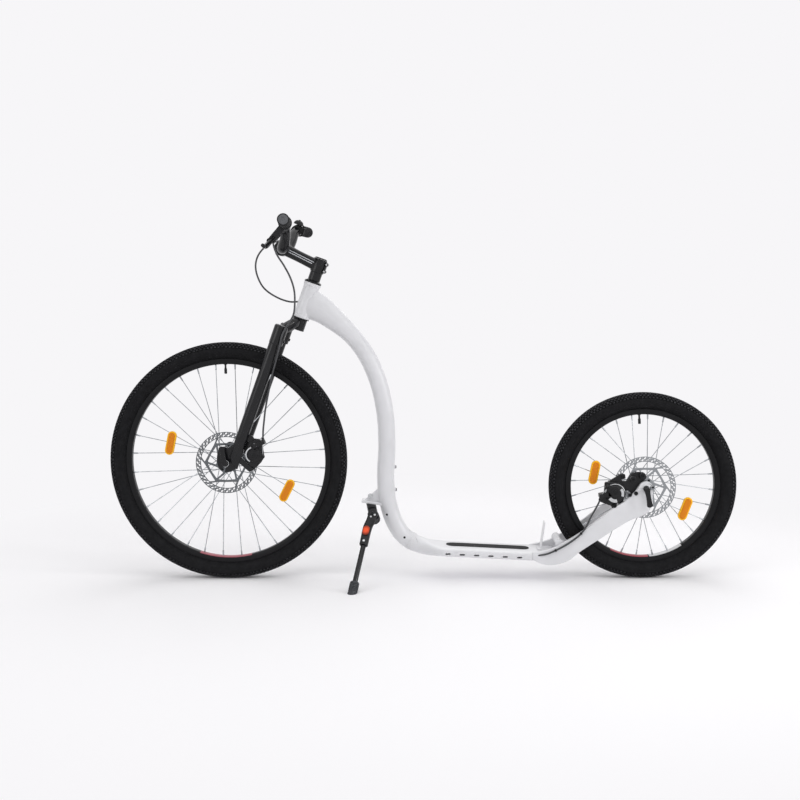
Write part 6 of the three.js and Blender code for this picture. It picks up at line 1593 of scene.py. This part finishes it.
class KICKBIKE_OT_cables(bpy.types.Operator):
    """Brake cable housings, ports and clips"""

    bl_idname = "kickbike.cables"
    bl_label = "Cables"

    def execute(self, context):
        radius = looks().cable_gauge / MM / 2
        housings = {}
        for name, points, count, body, node in (
                ("rear_cable_loop", [*LOOP, PORT - PORT_WAY * 7, PORT - PORT_WAY * 0.15], 140, None,
                 "rear_cable_loop"),
                ("rear_cable", [*REAR_RUN, *stop_run("rear")], 160, "frame", "rear_brake_cable"),
                ("front_cable", [*FRONT_RUN, *stop_run("front")], 220, "steering", "front_brake_cable")):
            run = spline(points, count)
            made = piece(f"{name}_housing", sweep(run, radius, radius, HERE, 2, 16), "extruded_cable_pvc",
                         body, node)
            housings[name] = made, run
        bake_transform(housings["rear_cable_loop"][0])
        port = fillet([(2.7, -9), (4.2, -9), (5.4, -3), (5.4, 2.5), (2.7, 2.5)], 0.6)
        piece("cable_port", lathe(port, aim(PORT + PORT_WAY * 3, PORT_WAY), 32, closed=True),
              "moulded_abs_black",
              "frame")
        run, clips = housings["rear_cable"][1], []
        for spot in ((905, -65.2, 89), (975, -65.2, 134)):
            k = np.argmin(np.linalg.norm(run - spot, axis=1))
            band = fillet(box(radius + 0.1, -2.2, radius + 1.3, 2.2), 0.4)
            clips.append(lathe(band, aim(run[k], run[k + 1] - run[k - 1]), 28, closed=True))
        piece("cable_clips", clips, "moulded_abs_black", "frame")
        return {"FINISHED"}


# ---------------------------------------------------------------- studio

BACKGROUND = "#f7f6f8"


def pale_rays(tree, camera_share=None):
    """Value that is 1 for rays of the camera, of reflections and of glass, which are to see the pale
    background. The camera's may be weakened by a share."""
    ray = add(tree, "ShaderNodeLightPath")
    value = ray.outputs["Is Camera Ray"]
    if camera_share is not None:
        value = add(tree, "ShaderNodeMath", {0: value, 1: camera_share}, operation="MULTIPLY").outputs[0]
    for kind in ("Is Glossy Ray", "Is Transmission Ray"):
        value = add(tree, "ShaderNodeMath", {0: value, 1: ray.outputs[kind]}, operation="MAXIMUM").outputs[0]
    return value


class KICKBIKE_OT_stage(bpy.types.Operator):
    """Pale floor that curves up behind, soft lamps and the camera at the photograph's angle"""

    bl_idname = "kickbike.stage"
    bl_label = "Studio"

    def execute(self, context):
        scene = context.scene
        pale = bpy.data.materials.new("painted_studio_sweep")
        pale.use_nodes = True
        tree = pale.node_tree
        tree.nodes.clear()
        diffuse = add(tree, "ShaderNodeBsdfDiffuse", {"Color": (*looks().floor_colour, 1)})
        glow = add(tree, "ShaderNodeEmission", {"Color": linear(BACKGROUND), "Strength": 1.0})
        coords = add(tree, "ShaderNodeTexCoord").outputs["Object"]
        flat = add(tree, "ShaderNodeMapping", {"Vector": coords, "Scale": (0.85, 0.8, 0.0)})
        away = add(tree, "ShaderNodeVectorMath", {0: flat.outputs[0]}, operation="LENGTH")
        far = add(tree, "ShaderNodeMapRange",
                  {"Value": away.outputs["Value"], "From Min": 0.75, "From Max": 1.5,
                   "To Min": 0.0, "To Max": 1.0}, interpolation_type="SMOOTHSTEP")
        blend = add(tree, "ShaderNodeMixShader", {
            0: pale_rays(tree, far.outputs[0]), 1: diffuse.outputs[0], 2: glow.outputs[0]})
        add(tree, "ShaderNodeOutputMaterial", {"Surface": blend.outputs[0]})
        # The floor runs flat to the curve, a quarter of a circle that rises to a straight wall
        front, back, bend, side, top = -5.0, 3.2, 1.4, 7.0, 6.0
        quarter = np.linspace(0, np.pi / 2, 16)[1:]
        y = np.concatenate([np.linspace(front, back, 3), back + bend * np.sin(quarter), [back + bend]])
        z = np.concatenate([np.zeros(3), bend * (1 - np.cos(quarter)), [top]])
        points = np.stack([np.broadcast_to([-side, side], (len(y), 2)), np.repeat(y[:, None], 2, 1),
                           np.repeat(z[:, None], 2, 1)], -1)
        corners, loops, _ = grid(points, wrap_columns=False)
        mesh = bpy.data.meshes.new("studio_sweep")
        mesh.from_pydata(corners, [], loops.reshape(-1, 4)[:, ::-1].tolist())
        mesh.polygons.foreach_set("use_smooth", np.ones(len(mesh.polygons), bool))
        mesh.materials.append(pale)
        sweep_object = bpy.data.objects.new("studio_sweep", mesh)
        scene.collection.objects.link(sweep_object)
        self.lamps(scene)
        self.camera(scene)
        return {"FINISHED"}

    def lamps(self, scene):
        """A large soft box overhead, one on each side, a thin strip that draws the bright edges, and a plain
        world."""
        for name, place, wide, tall, watts in (
                ("overhead_box", (0, -0.3, 3.4), 4.6, 4.6, 54), ("left_box", (-2.6, -2.2, 1.7), 1.8, 1.8, 19),
                ("right_box", (2.6, -2.0, 1.6), 1.8, 1.8, 17), ("back_box", (0.2, 2.4, 2.4), 2.2, 2.2, 16),
                ("edge_strip", (3.0, -1.0, 1.1), 0.16, 1.3, 17)):
            lamp = bpy.data.lights.new(name, "AREA")
            lamp.shape, lamp.size, lamp.size_y, lamp.energy = "RECTANGLE", wide, tall, watts
            holder = bpy.data.objects.new(name, lamp)
            holder.location = place
            holder.rotation_euler = (Vector((0, 0, 0.4)) - Vector(place)).to_track_quat("-Z", "Y").to_euler()
            scene.collection.objects.link(holder)
        world = bpy.data.worlds.new("studio_world")
        scene.world = world
        world.use_nodes = True
        tree = world.node_tree
        tree.nodes.clear()
        soft = add(tree, "ShaderNodeBackground", {"Color": (1, 1, 1, 1), "Strength": 0.46})
        white = add(tree, "ShaderNodeBackground", {"Color": linear(BACKGROUND), "Strength": 1.0})
        mixed = add(tree, "ShaderNodeMixShader",
                    {0: pale_rays(tree), 1: soft.outputs[0], 2: white.outputs[0]})
        add(tree, "ShaderNodeOutputWorld", {"Surface": mixed.outputs[0]})
        scene.view_settings.view_transform = "Standard"

    def camera(self, scene):
        """The photograph's view: place, pitch, yaw and roll, and a focal length counted in pixels of its
        width."""
        focal, width = 1171.8, 800
        pitch, yaw, roll = np.radians([5.10, -1.234, -0.340])
        ahead = np.array([np.sin(yaw) * np.cos(pitch), np.cos(yaw) * np.cos(pitch), -np.sin(pitch)])
        right = np.array([np.cos(yaw), -np.sin(yaw), 0])
        up = np.cross(right, ahead)
        x_axis = np.cos(roll) * right + np.sin(roll) * up
        y_axis = -np.sin(roll) * right + np.cos(roll) * up
        lens = bpy.data.cameras.new("camera")
        lens.sensor_width = 36.0
        lens.lens = focal / width * lens.sensor_width
        lens.shift_x = lens.shift_y = -0.5 / width
        camera = bpy.data.objects.new("camera", lens)
        camera.matrix_world = Matrix(basis((0.011, -3.235, 0.789), x_axis, y_axis, -ahead).tolist())
        scene.collection.objects.link(camera)
        scene.camera = camera


# ---------------------------------------------------------------- add-on

class KICKBIKE_OT_finishes(bpy.types.Operator):
    """Paint, metal, rubber and plastic finishes in the colours of the panel"""

    bl_idname = "kickbike.finishes"
    bl_label = "Finishes"

    def execute(self, context):
        make_materials(looks())
        return {"FINISHED"}


class KICKBIKE_PT_panel(bpy.types.Panel):
    bl_label = "Kick bike"
    bl_space_type = "VIEW_3D"
    bl_region_type = "UI"
    bl_category = "Kick bike"

    def draw(self, context):
        for key in KickBikeLooks.__annotations__:
            self.layout.prop(context.scene.kick_bike, key)
        for step in STEPS:
            self.layout.operator(step.bl_idname)


STEPS = (KICKBIKE_OT_stage, KICKBIKE_OT_finishes, KICKBIKE_OT_wheels, KICKBIKE_OT_frame, KICKBIKE_OT_fork,
         KICKBIKE_OT_stem, KICKBIKE_OT_controls, KICKBIKE_OT_axles, KICKBIKE_OT_brakes, KICKBIKE_OT_stand,
         KICKBIKE_OT_cables)


def register():
    for kind in (KickBikeLooks, *STEPS, KICKBIKE_PT_panel):
        bpy.utils.register_class(kind)
    bpy.types.Scene.kick_bike = bpy.props.PointerProperty(type=KickBikeLooks)


def unregister():
    del bpy.types.Scene.kick_bike
    for kind in (KICKBIKE_PT_panel, *reversed(STEPS), KickBikeLooks):
        bpy.utils.unregister_class(kind)


def main():
    register()
    for step in STEPS:
        getattr(bpy.ops.kickbike, step.bl_idname.split(".")[1])()
    bpy.context.view_layer.update()


if __name__ == "__main__":
    main()
